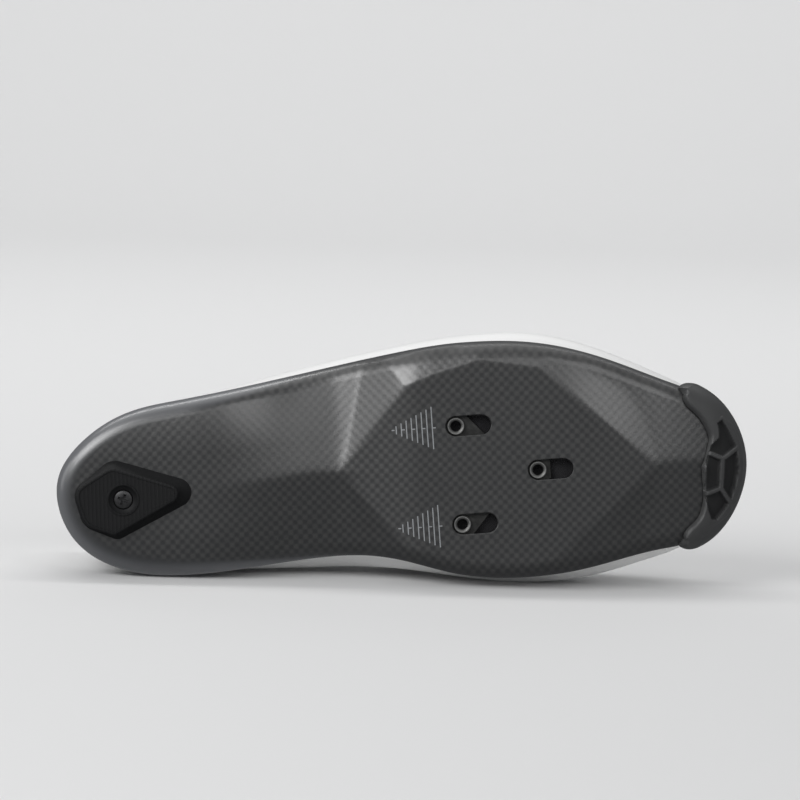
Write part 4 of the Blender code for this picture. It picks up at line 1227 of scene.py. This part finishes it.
# The upper. One shell of white coated microfibre, lined with grey knit. Its lower edge is bonded inside the
# sole's cup, its collar is padded, and a facing doubles it along the throat.
COLLAR_HEIGHT = 0.0760
INSTEP_HEIGHT = 0.0915
BULGE = 0.0050
UPPER_WALL = 0.0022
LOW_HANDLE = 0.35
WIDEST_HANDLE = 0.45
EDGE_HANDLE = 0.36
BRIDGE_HANDLE = 0.30
COLLAR_PAD = 0.0030
COLLAR_PAD_DOWN = 0.0340
FACING_WIDE = 0.0125
FACING_STEP = 0.00045
COUNTER_UP = 0.0340
COUNTER_FRONT = 0.270
COLLAR_SEAMS = (0.0088, 0.0113)
THROAT_SEAMS = (0.0030, 0.0052, FACING_WIDE - 0.0016)
COUNTER_SEAM = 0.0018
STITCH_PITCH = 0.0026
STITCH_LONG = 0.0020
STITCH_THICK = 0.00048
OVERLAY_SLOPE = 0.0007
FOLDED_EDGE = 0.0015
SEAM_DOWN = 0.0100
SEAM_DEPTH = 0.00035
SEAM_HALF_WIDTH = 0.0007
PAD_STARTS = 0.008
PAD_FADES = 0.020
COLLAR_FROM = 0.35
COLLAR_FADE = 0.4
COLLAR_ROLL = 0.7
LINING_AWAY = 0.0011
LINING_FADE = 0.0005
CREASES_FROM = 0.030
CREASES_FADE = 0.022
CREASE_WAVER = 0.0012
RIDGE_HIGH = 0.35
RIDGE_AWAY = 2.1
KNIT_ALONG = 0.0013
KNIT_UP = 0.0010
LEATHER_RELIEF = 0.00007
UPPER_SPOKES = 440
LOW_RINGS = 9
HIGH_RINGS = 62

# Flexing troughs across the vamp: where each crosses the top, as a share of LENGTH, how far it sweeps back
# toward its sides as a share of LENGTH, its depth and its half width
CREASES = (
    ("behind the toe", 0.865, 0.060, 0.00040, 0.0042),
    ("over the ball", 0.805, 0.075, 0.00065, 0.0050),
    ("behind the ball", 0.752, 0.085, 0.00045, 0.0046),
)


def bezier(a, b, c, d, t):
    return (1 - t) ** 3 * a + 3 * (1 - t) ** 2 * t * b + 3 * (1 - t) * t**2 * c + t**3 * d


def upper_outer(edge, low_shares, high_shares):
    """Rings of the upper's outer skin, from its feather edge inside the rim to the collar and throat."""
    x, y = edge.inset(RIM_WALL + GAP)
    feather = floor_up(*edge.inset(RIM_WALL)) + INNER_CURL_UP + GAP
    rim = edge.rim_up() + GAP
    rings = [edge.leaned(x, y, feather), edge.leaned(x, y, rim)]
    start = rings[-1]
    out_x, out_y = edge.inset(-edge.column("out_bulge") * BULGE)
    widest = edge.leaned(out_x, out_y, rim + edge.column("out_up_cup") * CUP_HEIGHT)
    opening_x = edge.column("edge_along_length") * LENGTH
    opening = ring(
        opening_x,
        edge.column("edge_across_width") * width_at(opening_x),
        edge.column("edge_collar") * COLLAR_HEIGHT + edge.column("edge_instep") * INSTEP_HEIGHT,
    )
    up = np.array([0.0, 0.0, 1.0])
    lift = (widest[:, 2] - start[:, 2])[:, None] * up
    for t in low_shares:
        rings.append(bezier(start, start + LOW_HANDLE * lift, widest - WIDEST_HANDLE * lift, widest, t))
    reach = opening - widest
    size = np.linalg.norm(reach, axis=1)[:, None]
    level = unit(reach * np.array([1.0, 1.0, 0.0]))
    lean = edge.column("lean")[:, None]
    arrive = unit((1 - lean) * up + lean * level)
    swell = widest + edge.column("full")[:, None] * size * up
    for t in high_shares:
        rings.append(bezier(widest, swell, opening - EDGE_HANDLE * size * arrive, opening, t))
    return rings


def bumped(distance, half_width):
    """A soft hump, 1 at no distance and gone at twice the half width."""
    return smooth(1.0 - 0.5 * np.abs(distance) / half_width)


def creased(skin):
    """How far the vamp's troughs lie under the skin, with low ridges between them."""
    x, y, z = skin[..., 0], skin[..., 1], skin[..., 2]
    high = smooth((z - CREASES_FROM) / CREASES_FADE)
    depth = np.zeros(x.shape)
    for _, along, sweep, deep, half in CREASES:
        line = x - along * LENGTH + sweep * LENGTH * (2 * y / BALL_WIDTH) ** 2
        line += CREASE_WAVER * np.sin(y * 210.0 + along * 40.0)
        depth += deep * (bumped(line, half) - RIDGE_HIGH * bumped(line - RIDGE_AWAY * half, half))
    return depth * high


def followed(grid, normal, values, level, wanted):
    """Lines on a grid where its values cross a level, as lists of (point, normal), in the columns wanted."""
    crossed = (values[:-1] > level) != (values[1:] > level)
    row, column = np.argmax(crossed, axis=0), np.arange(values.shape[1])
    near, far = values[row, column], values[row + 1, column]
    share = ((level - near) / np.where(near == far, 1.0, far - near))[:, None]
    spots = grid[row, column] * (1 - share) + grid[row + 1, column] * share
    ups = normal[row, column] * (1 - share) + normal[row + 1, column] * share
    found = crossed.any(axis=0) & wanted
    first = 0 if found.all() else int(np.argmin(found))
    lines, line = [], []
    for k in np.roll(column, -first):
        if found[k]:
            line.append((spots[k], ups[k]))
        elif line:
            lines.append(line)
            line = []
    return [kept for kept in [*lines, line] if len(kept) > 4]


def make_stitches(name, lines):
    """Thread in even stitches along lines that lie on a surface, sunk by half their thickness."""
    points = [spot for line in lines for spot, _ in line]
    starts = np.cumsum([0] + [len(line) for line in lines])
    edges = [(k, k + 1) for a, b in zip(starts, starts[1:]) for k in range(a, b - 1)]
    mesh = bpy.data.meshes.new(name)
    mesh.from_pydata([tuple(spot) for spot in points], edges, [])
    ups = np.array([up for line in lines for _, up in line], np.float32)
    mesh.attributes.new("up", "FLOAT_VECTOR", "POINT").data.foreach_set("vector", ups.ravel())
    stitches = placed(name, mesh)
    repeat = Repeat(name, {
        "Pitch": STITCH_PITCH, "Long": STITCH_LONG, "Thick": STITCH_THICK, "Thread": thread(),
    })
    pitch, long, thick = (repeat.given(label) for label in ("Pitch", "Long", "Thick"))
    line = repeat.node("GeometryNodeMeshToCurve", {}, repeat.given())
    spaced = repeat.node("GeometryNodeResampleCurve", {"mode": "LENGTH"}, line, Length=pitch)
    bead = repeat.node("GeometryNodeMeshUVSphere", {}, Segments=8, Rings=6, Radius=0.5)
    up = repeat.node("GeometryNodeInputNamedAttribute", {"data_type": "FLOAT_VECTOR"}, "up")
    along = repeat.node("GeometryNodeInputTangent", {})
    turn = repeat.node("FunctionNodeAlignRotationToVector", {"axis": "X"}, Vector=along)
    settings = {"axis": "Z", "pivot_axis": "X"}
    turn = repeat.node("FunctionNodeAlignRotationToVector", settings, turn, Vector=up)
    size = repeat.vector(long, thick, thick)
    repeat.run(stitches, repeat.at_points(spaced, bead, Rotation=turn, Scale=size), repeat.given("Thread"))
    stitches.data.transform(LAID)
    stitches.data.shade_smooth()
    return stitches


def thread():
    """Twisted white polyester thread."""
    finish = Finish("white thread", (0.80, 0.80, 0.79), 0.65, specular_ior_level=0.3)
    spot = finish.place()
    finish.feed("Roughness", 0.55 + finish.noise(spot, 900.0) * 0.2)
    finish.bump(finish.noise(spot, 4800.0), 0.00005)
    return finish.material


def make_upper():
    """The outer skin with overlays and troughs, a rolled edge and the inner skin, and its seams' lines."""
    edge = Outline(np.arange(UPPER_SPOKES) * len(Section.rows) / UPPER_SPOKES)
    low_shares, high_shares = np.linspace(0.0, 1.0, LOW_RINGS)[1:], np.linspace(0.0, 1.0, HIGH_RINGS)[1:]
    skin = np.stack(upper_outer(edge, low_shares, high_shares))
    normal = outward(skin, closed=True)
    heel_back = normal[LOW_RINGS, 0]
    if heel_back[0] > 0:
        normal = -normal
    down = along_rows(skin[::-1])[::-1]
    collar = smooth((edge.column("edge_collar") - COLLAR_FROM) / COLLAR_FADE)
    facing = (1.0 - collar) * smooth((FACING_WIDE - down) / OVERLAY_SLOPE)
    counter_top = COUNTER_UP * smooth(1.25 * (COUNTER_FRONT - skin[..., 0] / LENGTH) / COUNTER_FRONT + 0.1)
    counter = smooth((counter_top - skin[..., 2]) / OVERLAY_SLOPE) * (skin[..., 0] < COUNTER_FRONT * LENGTH)
    troughs = creased(skin)
    raised = FACING_STEP * np.maximum(facing, counter) * smooth(down / FOLDED_EDGE) - troughs
    raised = raised - collar * SEAM_DEPTH * bumped(down - SEAM_DOWN, SEAM_HALF_WIDTH)
    raised[:2] = 0.0
    outer = skin + raised[..., None] * normal
    pad = COLLAR_PAD * collar * smooth(down / PAD_STARTS) * smooth((COLLAR_PAD_DOWN - down) / PAD_FADES)
    inner = skin - (UPPER_WALL + pad + 0.5 * troughs)[..., None] * normal
    middle = 0.5 * (outer[-1] + inner[-1])
    half = 0.5 * (outer[-1] - inner[-1])
    run = unit(skin[-1] - skin[-2]) * np.linalg.norm(half, axis=1)[:, None]
    turns = np.linspace(0, math.pi, 8)[1:-1]
    roll = [middle + math.cos(turn) * half + COLLAR_ROLL * math.sin(turn) * run for turn in turns]
    rows = [*outer, *roll, *inner[::-1]]
    count = len(rows)
    faces = quads(count, UPPER_SPOKES, True)
    start = (count - 1) * UPPER_SPOKES
    for c in range(UPPER_SPOKES):
        d = (c + 1) % UPPER_SPOKES
        faces.append((start + c, start + d, d, c))
    upper = solid("upper_shell", np.concatenate(rows), faces, 60.0)
    spots = own_frame(upper)
    outer_tree = KDTree(len(skin) * UPPER_SPOKES)
    flat = outer.reshape(-1, 3)
    for k, spot in enumerate(flat):
        outer_tree.insert(spot, k)
    outer_tree.balance()
    far = np.array([outer_tree.find(spot)[2] for spot in spots])
    mark(upper, "lining", smooth((far - LINING_AWAY) / LINING_FADE))
    seams = []
    for distance in COLLAR_SEAMS:
        seams += followed(outer, normal, down, distance, collar > 0.6)
    for distance in THROAT_SEAMS:
        seams += followed(outer, normal, down, distance, collar < 0.4)
    behind = skin[-1, :, 0] < 0.97 * COUNTER_FRONT * LENGTH
    seams += followed(outer, normal, counter_top - skin[..., 2], COUNTER_SEAM, behind)
    return upper, seams


def microfibre():
    """Bright white coated microfibre with a fine pebble; inside it is grey knit."""
    finish = Finish("white microfibre", (0.86, 0.86, 0.85), 0.45, specular_ior_level=0.4, coat_weight=0.06,
                    coat_roughness=0.4)
    spot = finish.place()
    lining = finish.attribute("lining")
    cloud = finish.noise(spot, 28.0, 3.0)
    pebble = finish.grain(spot, 1300.0)
    fine = finish.noise(spot, 3800.0, 2.0)
    leather = finish.mix(cloud, (0.84, 0.84, 0.83), (0.89, 0.89, 0.885))
    x, y, z = finish.parts(spot)
    knit = finish.check(x, z + y, KNIT_ALONG, KNIT_UP)
    cloth = finish.mix(knit.grown(-0.6, 0.6), (0.10, 0.10, 0.105), (0.20, 0.20, 0.205))
    finish.feed("Base Color", finish.mix(lining, leather, cloth))
    finish.feed("Roughness", 0.40 + cloud * 0.10 + lining * 0.4)
    relief = (pebble * 0.5 + fine * 0.12) * (1.0 - lining) + knit.grown(-1.0, 1.0) * lining * 1.6
    finish.bump(relief, LEATHER_RELIEF)
    return finish.material


upper, upper_seams = make_upper()
upper.data.materials.append(microfibre())
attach(upper, "shoe")
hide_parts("upper")
upper_stitches = make_stitches("upper_stitches", upper_seams)
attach(upper_stitches, "shoe")


# The insole. A thin moulded foam footbed with a dark cloth face, rounded along its upper edge; it lies loose
# on the sole's floor. Its cloth is painted darker still, as painted shade for the inside of the shoe seen
# through the slots.
INSOLE_THICK = 0.0030
INSOLE_ROUND = 0.0010
INSOLE_SPOKES = 240
INSOLE_RINGS = 30
INSOLE_WEAVE = 0.0009
INSOLE_RELIEF = 0.00012


def make_insole():
    """Rings from the middle out over its underside, up its edge and back over its face."""
    edge = Outline(np.arange(INSOLE_SPOKES) * len(Section.rows) / INSOLE_SPOKES)
    rings = []
    inset = RIM_WALL + UPPER_WALL + 3 * GAP
    for share in np.linspace(0.0, 1.0, 16):
        x, y = edge.toward_spine(inset, share)
        rings.append(ring(x, y, floor_up(x, y) + GAP))
    for turn in np.linspace(0.0, 1.0, 5):
        angle = turn * math.pi / 2
        x, y = edge.inset(inset + INSOLE_ROUND * (1 - math.cos(angle)))
        rings.append(ring(x, y, floor_up(x, y) + GAP + INSOLE_THICK - INSOLE_ROUND * (1 - math.sin(angle))))
    for share in np.linspace(0.97, 0.0, INSOLE_RINGS):
        x, y = edge.toward_spine(inset + INSOLE_ROUND, share)
        rings.append(ring(x, y, floor_up(x, y) + GAP + INSOLE_THICK))
    return solid("footbed", np.concatenate(rings), quads(len(rings), INSOLE_SPOKES, True), 50.0)


def footbed_cloth():
    finish = Finish("footbed cloth", (0.05, 0.05, 0.055), 0.9, sheen_weight=0.15)
    spot = finish.place()
    x, y, _ = finish.parts(spot)
    cloud = finish.noise(spot, 90.0, 3.0)
    weave = finish.check(x, y, INSOLE_WEAVE, INSOLE_WEAVE)
    # Partly painted shade: the dark cloth is painted darker than it is, for the shade inside the shoe that
    # shows through the slots.
    finish.feed("Base Color", finish.mix(cloud, (0.012, 0.012, 0.014), (0.022, 0.022, 0.024)))
    finish.bump(weave.grown(-1.0, 1.0), INSOLE_RELIEF)
    return finish.material


insole = make_insole()
insole.data.materials.append(footbed_cloth())
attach(insole, "shoe")
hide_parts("insole")


# The tongue. Foam between two layers of soft white cloth, sewn through in long channels; it hangs under the
# throat and its free end stands above the facings.
TONGUE_REAR = 0.440
TONGUE_FRONT = 0.745
TONGUE_SPREAD = 0.165
TONGUE_THICK = 0.0034
TONGUE_GAP = 0.0006
TONGUE_TAB = 0.0140
TONGUE_ROUND = 0.0016
TONGUE_CORNER = 0.012
TONGUE_NARROWS = 0.28
CHANNELS = (-0.62, -0.21, 0.21, 0.62)
CHANNEL_DEPTH = 0.0009
CHANNEL_HALF_WIDTH = 0.0010
CHANNELS_STOP = 0.004
CHANNELS_FADE = 0.003
BINDING_WIDE = 0.0042
BINDING_HALF_GROOVE = 0.0007
BINDING_SHARE = 0.6
MESH_PITCH = 0.0011
MESH_RELIEF = 0.00016
TONGUE_ROWS = 90
TONGUE_COLUMNS = 61
TAB_ROWS = 28
THROAT_SIDES = (9.0, 15.0)
LAST_SPOKES = 168
LAST_RINGS = 24
BRIDGE_SECTIONS = (4.5, 11.999)
BRIDGE_ROWS = 60
BRIDGE_COLUMNS = 25
OFF_GRID = Vector((0.7e-5, 1.1e-5, 0.0))


def bridge(sections, columns):
    """Rows over the throat, each an arch from the outer facing to the inner one."""
    inner, outer = Outline(np.array(sections)), Outline(len(Section.rows) - np.array(sections))
    skins = [upper_outer(side, (1.0,), (0.9, 1.0)) for side in (outer, inner)]
    (before_a, a), (before_b, b) = [skin[-2:] for skin in skins]
    handle = BRIDGE_HANDLE * np.linalg.norm(b - a, axis=1)[:, None]
    leave_a, leave_b = a + handle * unit(a - before_a), b + handle * unit(b - before_b)
    return np.stack([bezier(a, leave_a, leave_b, b, t) for t in columns])


def last_surface():
    """The upper's outer form with the throat bridged over, for laying the tongue and straps on."""
    edge = Outline(np.arange(LAST_SPOKES) * len(Section.rows) / LAST_SPOKES)
    skin = upper_outer(edge, (1.0,), np.linspace(0.04, 1.0, LAST_RINGS))[2:]
    faces = quads(len(skin), len(skin[0]), True)
    over = bridge(np.linspace(*BRIDGE_SECTIONS, BRIDGE_ROWS), np.linspace(0.0, 1.0, BRIDGE_COLUMNS))
    points = np.concatenate([*skin, over.reshape(-1, 3)])
    faces += quads(*over.shape[:2], False, sum(len(row) for row in skin))
    return BVHTree.FromPolygons([Vector(p) for p in points], faces)


def met(start, direction):
    """Where a line from outside first meets the last, and the outward normal; it is kept off grid lines."""
    place, normal, _, _ = LAST.ray_cast(Vector(start) + OFF_GRID, Vector(direction))
    if normal.dot(Vector(direction)) > 0:
        normal = -normal
    return place, normal


def relaxed(grid, times):
    """Evens out a grid's small steps, keeping its border."""
    grid = grid.copy()
    for _ in range(times):
        inner = grid[1:-1, 1:-1]
        mean = 0.25 * (grid[:-2, 1:-1] + grid[2:, 1:-1] + grid[1:-1, :-2] + grid[1:-1, 2:])
        inner += 0.6 * (mean - inner)
    return grid


def make_tongue():
    """A sheet laid under the bridged throat, with a free tab behind it, thickened and sewn into channels."""
    shares = np.linspace(-1.0, 1.0, TONGUE_COLUMNS)
    throat_middle = 0.5 * around("edge_across_width", np.array(THROAT_SIDES)).sum()
    rows, normals = [], []
    for x in np.linspace(TONGUE_FRONT, TONGUE_REAR, TONGUE_ROWS) * LENGTH:
        spread = TONGUE_SPREAD * width_at(x)
        middle = throat_middle * width_at(x)
        found = [met((x, middle + share * spread, 2 * INSTEP_HEIGHT), (0, 0, -1)) for share in shares]
        rows.append([place for place, _ in found])
        normals.append([normal for _, normal in found])
    normal = unit(relaxed(np.array(normals), 20))
    top = relaxed(np.array(rows), 6) - (UPPER_WALL + TONGUE_GAP) * normal
    throat_end = top[-1]
    run = unit(throat_end - top[-12])
    for along in np.linspace(0.0, TONGUE_TAB, TAB_ROWS)[1:]:
        into = max(along - (TONGUE_TAB - TONGUE_CORNER), 0.0) / TONGUE_CORNER
        narrow = 1.0 - TONGUE_NARROWS * (1.0 - math.sqrt(1.0 - min(into, 1.0) ** 2))
        row = throat_end + run * along
        centre = row.mean(axis=0)
        top = np.concatenate([top, [centre + (row - centre) * narrow]])
        normal = np.concatenate([normal, normal[-1:]])
    border = to_border(top)
    full = quarter_round(border, TONGUE_ROUND)
    lines = np.min([np.abs(shares - place) for place in CHANNELS], axis=0) * TONGUE_SPREAD * BALL_WIDTH
    sewn = bumped(lines, CHANNEL_HALF_WIDTH)[None, :] * smooth((border - CHANNELS_STOP) / CHANNELS_FADE)
    binding = bumped(border - BINDING_WIDE, BINDING_HALF_GROOVE) * BINDING_SHARE
    sink = CHANNEL_DEPTH * np.maximum(sewn, binding)
    middle = top - 0.5 * TONGUE_THICK * normal
    upper_side = middle + ((0.5 * TONGUE_THICK * full) - sink)[..., None] * normal
    lower_side = middle - ((0.5 * TONGUE_THICK * full) - 0.7 * sink)[..., None] * normal
    return sheet_solid("tongue_pad", lower_side, upper_side, 70.0)


def tongue_cloth():
    finish = Finish("tongue cloth", (0.78, 0.78, 0.77), 0.75, sheen_weight=0.2)
    spot = finish.place()
    x, y, _ = finish.parts(spot)
    mesh = finish.check(x, y, MESH_PITCH, MESH_PITCH)
    cloud = finish.noise(spot, 60.0, 3.0)
    finish.feed("Base Color", finish.mix(mesh.grown(-0.5, 0.8), (0.66, 0.66, 0.655), (0.82, 0.82, 0.81)))
    finish.feed("Roughness", 0.70 + cloud * 0.15)
    finish.bump(mesh.grown(-1.0, 1.0), MESH_RELIEF)
    return finish.material


LAST = last_surface()
tongue = make_tongue()
tongue.data.materials.append(tongue_cloth())
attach(tongue, "shoe")
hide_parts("tongue")


# The straps. Two flat bands of coated webbing with hook-and-loop under them; they cross the throat, and
# their ends are sewn and pressed down on both sides.
STRAP_THICK = 0.0018
STRAP_GAP = 0.0008
STRAP_END_GAP = 0.00025
STRAP_WIDTH = 0.0240
STRAP_CORNER = 0.0075
STRAP_ROUND = 0.0007
STRAP_WELT = 0.0030
STRAP_WELT_DEEP = 0.00018
STRAP_WELT_HALF_WIDTH = 0.0006
STRAP_SEAM = 0.0020
STRAP_LIFTS = 0.015
STRAP_UNDER = 0.4
STRAP_REACH = 0.55
STRAP_COLUMNS = 200
STRAP_ROWS = 25

# Where their middle crosses the throat as a share of LENGTH, slant, and the two ends' angles
STRAPS = {
    "strap_front": (0.640, math.radians(10), math.radians(-80), math.radians(62)),
    "strap_rear": (0.500, math.radians(8), math.radians(-76), math.radians(60)),
}
STRAP_AXIS = (-0.03, 0.36)


def strap_grid(name):
    """A strap's underside on the last, with normals; its corners are rounded off in plan."""
    along, slant, outer_end, inner_end = STRAPS[name]
    middle = Vector((along * LENGTH, STRAP_AXIS[0] * BALL_WIDTH, STRAP_AXIS[1] * INSTEP_HEIGHT))
    lean = math.tan(slant)
    even = np.linspace(0.0, 1.0, STRAP_COLUMNS)
    shares = 0.15 * even + 0.85 * (0.5 - 0.5 * np.cos(math.pi * even))
    angles = outer_end + shares * (inner_end - outer_end)
    reach = INSTEP_HEIGHT * STRAP_REACH
    to_end = reach * np.minimum(angles - outer_end, inner_end - angles)
    narrow = STRAP_CORNER * (1.0 - quarter_round(to_end, STRAP_CORNER)) * 2 / STRAP_WIDTH
    rows, normals = [], []
    for share in np.linspace(-0.5, 0.5, STRAP_ROWS):
        row, lifts = [], []
        for angle, less in zip(angles, narrow):
            ray = Vector((lean * math.sin(angle), math.sin(angle), math.cos(angle)))
            spot = middle + Vector((share * (1.0 - less) * STRAP_WIDTH, 0, 0))
            place, normal = met(spot + ray * LENGTH, -ray)
            row.append(place)
            lifts.append(normal)
        rows.append(row)
        normals.append(lifts)
    return np.array(rows), unit(relaxed(np.array(normals), 12)), to_end


def make_strap(name):
    """The band, lifted over the facings and pressed down at its ends, and its seams' lines."""
    skin, normal, to_end = strap_grid(name)
    gap = STRAP_END_GAP + (STRAP_GAP - STRAP_END_GAP) * smooth(to_end / STRAP_LIFTS)
    lower = skin + gap[None, :, None] * normal
    border = to_border(lower)
    full = quarter_round(border, STRAP_ROUND)
    welt = STRAP_WELT_DEEP * bumped(border - STRAP_WELT, STRAP_WELT_HALF_WIDTH)
    middle = lower + STRAP_UNDER * STRAP_THICK * normal
    upper_side = middle + ((1.0 - STRAP_UNDER) * STRAP_THICK * full - welt)[..., None] * normal
    lower_side = middle - (STRAP_UNDER * STRAP_THICK * full)[..., None] * normal
    whole = np.ones(border.shape[1], bool)
    half = border.shape[0] // 2 + 1
    seams = followed(upper_side[:half], normal[:half], border[:half], STRAP_SEAM, whole)
    seams += followed(upper_side[half - 1:], normal[half - 1:], border[half - 1:], STRAP_SEAM, whole)
    return sheet_solid(name + "_band", lower_side, upper_side, 60.0), seams


def webbing():
    finish = Finish("white coated webbing", (0.80, 0.80, 0.79), 0.5, specular_ior_level=0.4)
    spot = finish.place()
    cloud = finish.noise(spot, 45.0, 3.0)
    finish.feed("Base Color", finish.mix(cloud, (0.77, 0.77, 0.76), (0.84, 0.84, 0.83)))
    finish.feed("Roughness", 0.42 + cloud * 0.14)
    finish.bump(finish.grain(spot, 1700.0) * 0.7 + finish.noise(spot, 4200.0) * 0.3, 0.00006)
    return finish.material


strap_finish = webbing()
strap_seams = []
for strap_name in STRAPS:
    strap, seams = make_strap(strap_name)
    strap_seams += seams
    strap.data.materials.append(strap_finish)
    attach(strap, "shoe")
    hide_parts(strap_name)
strap_stitches = make_stitches("strap_stitches", strap_seams)
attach(strap_stitches, "shoe")
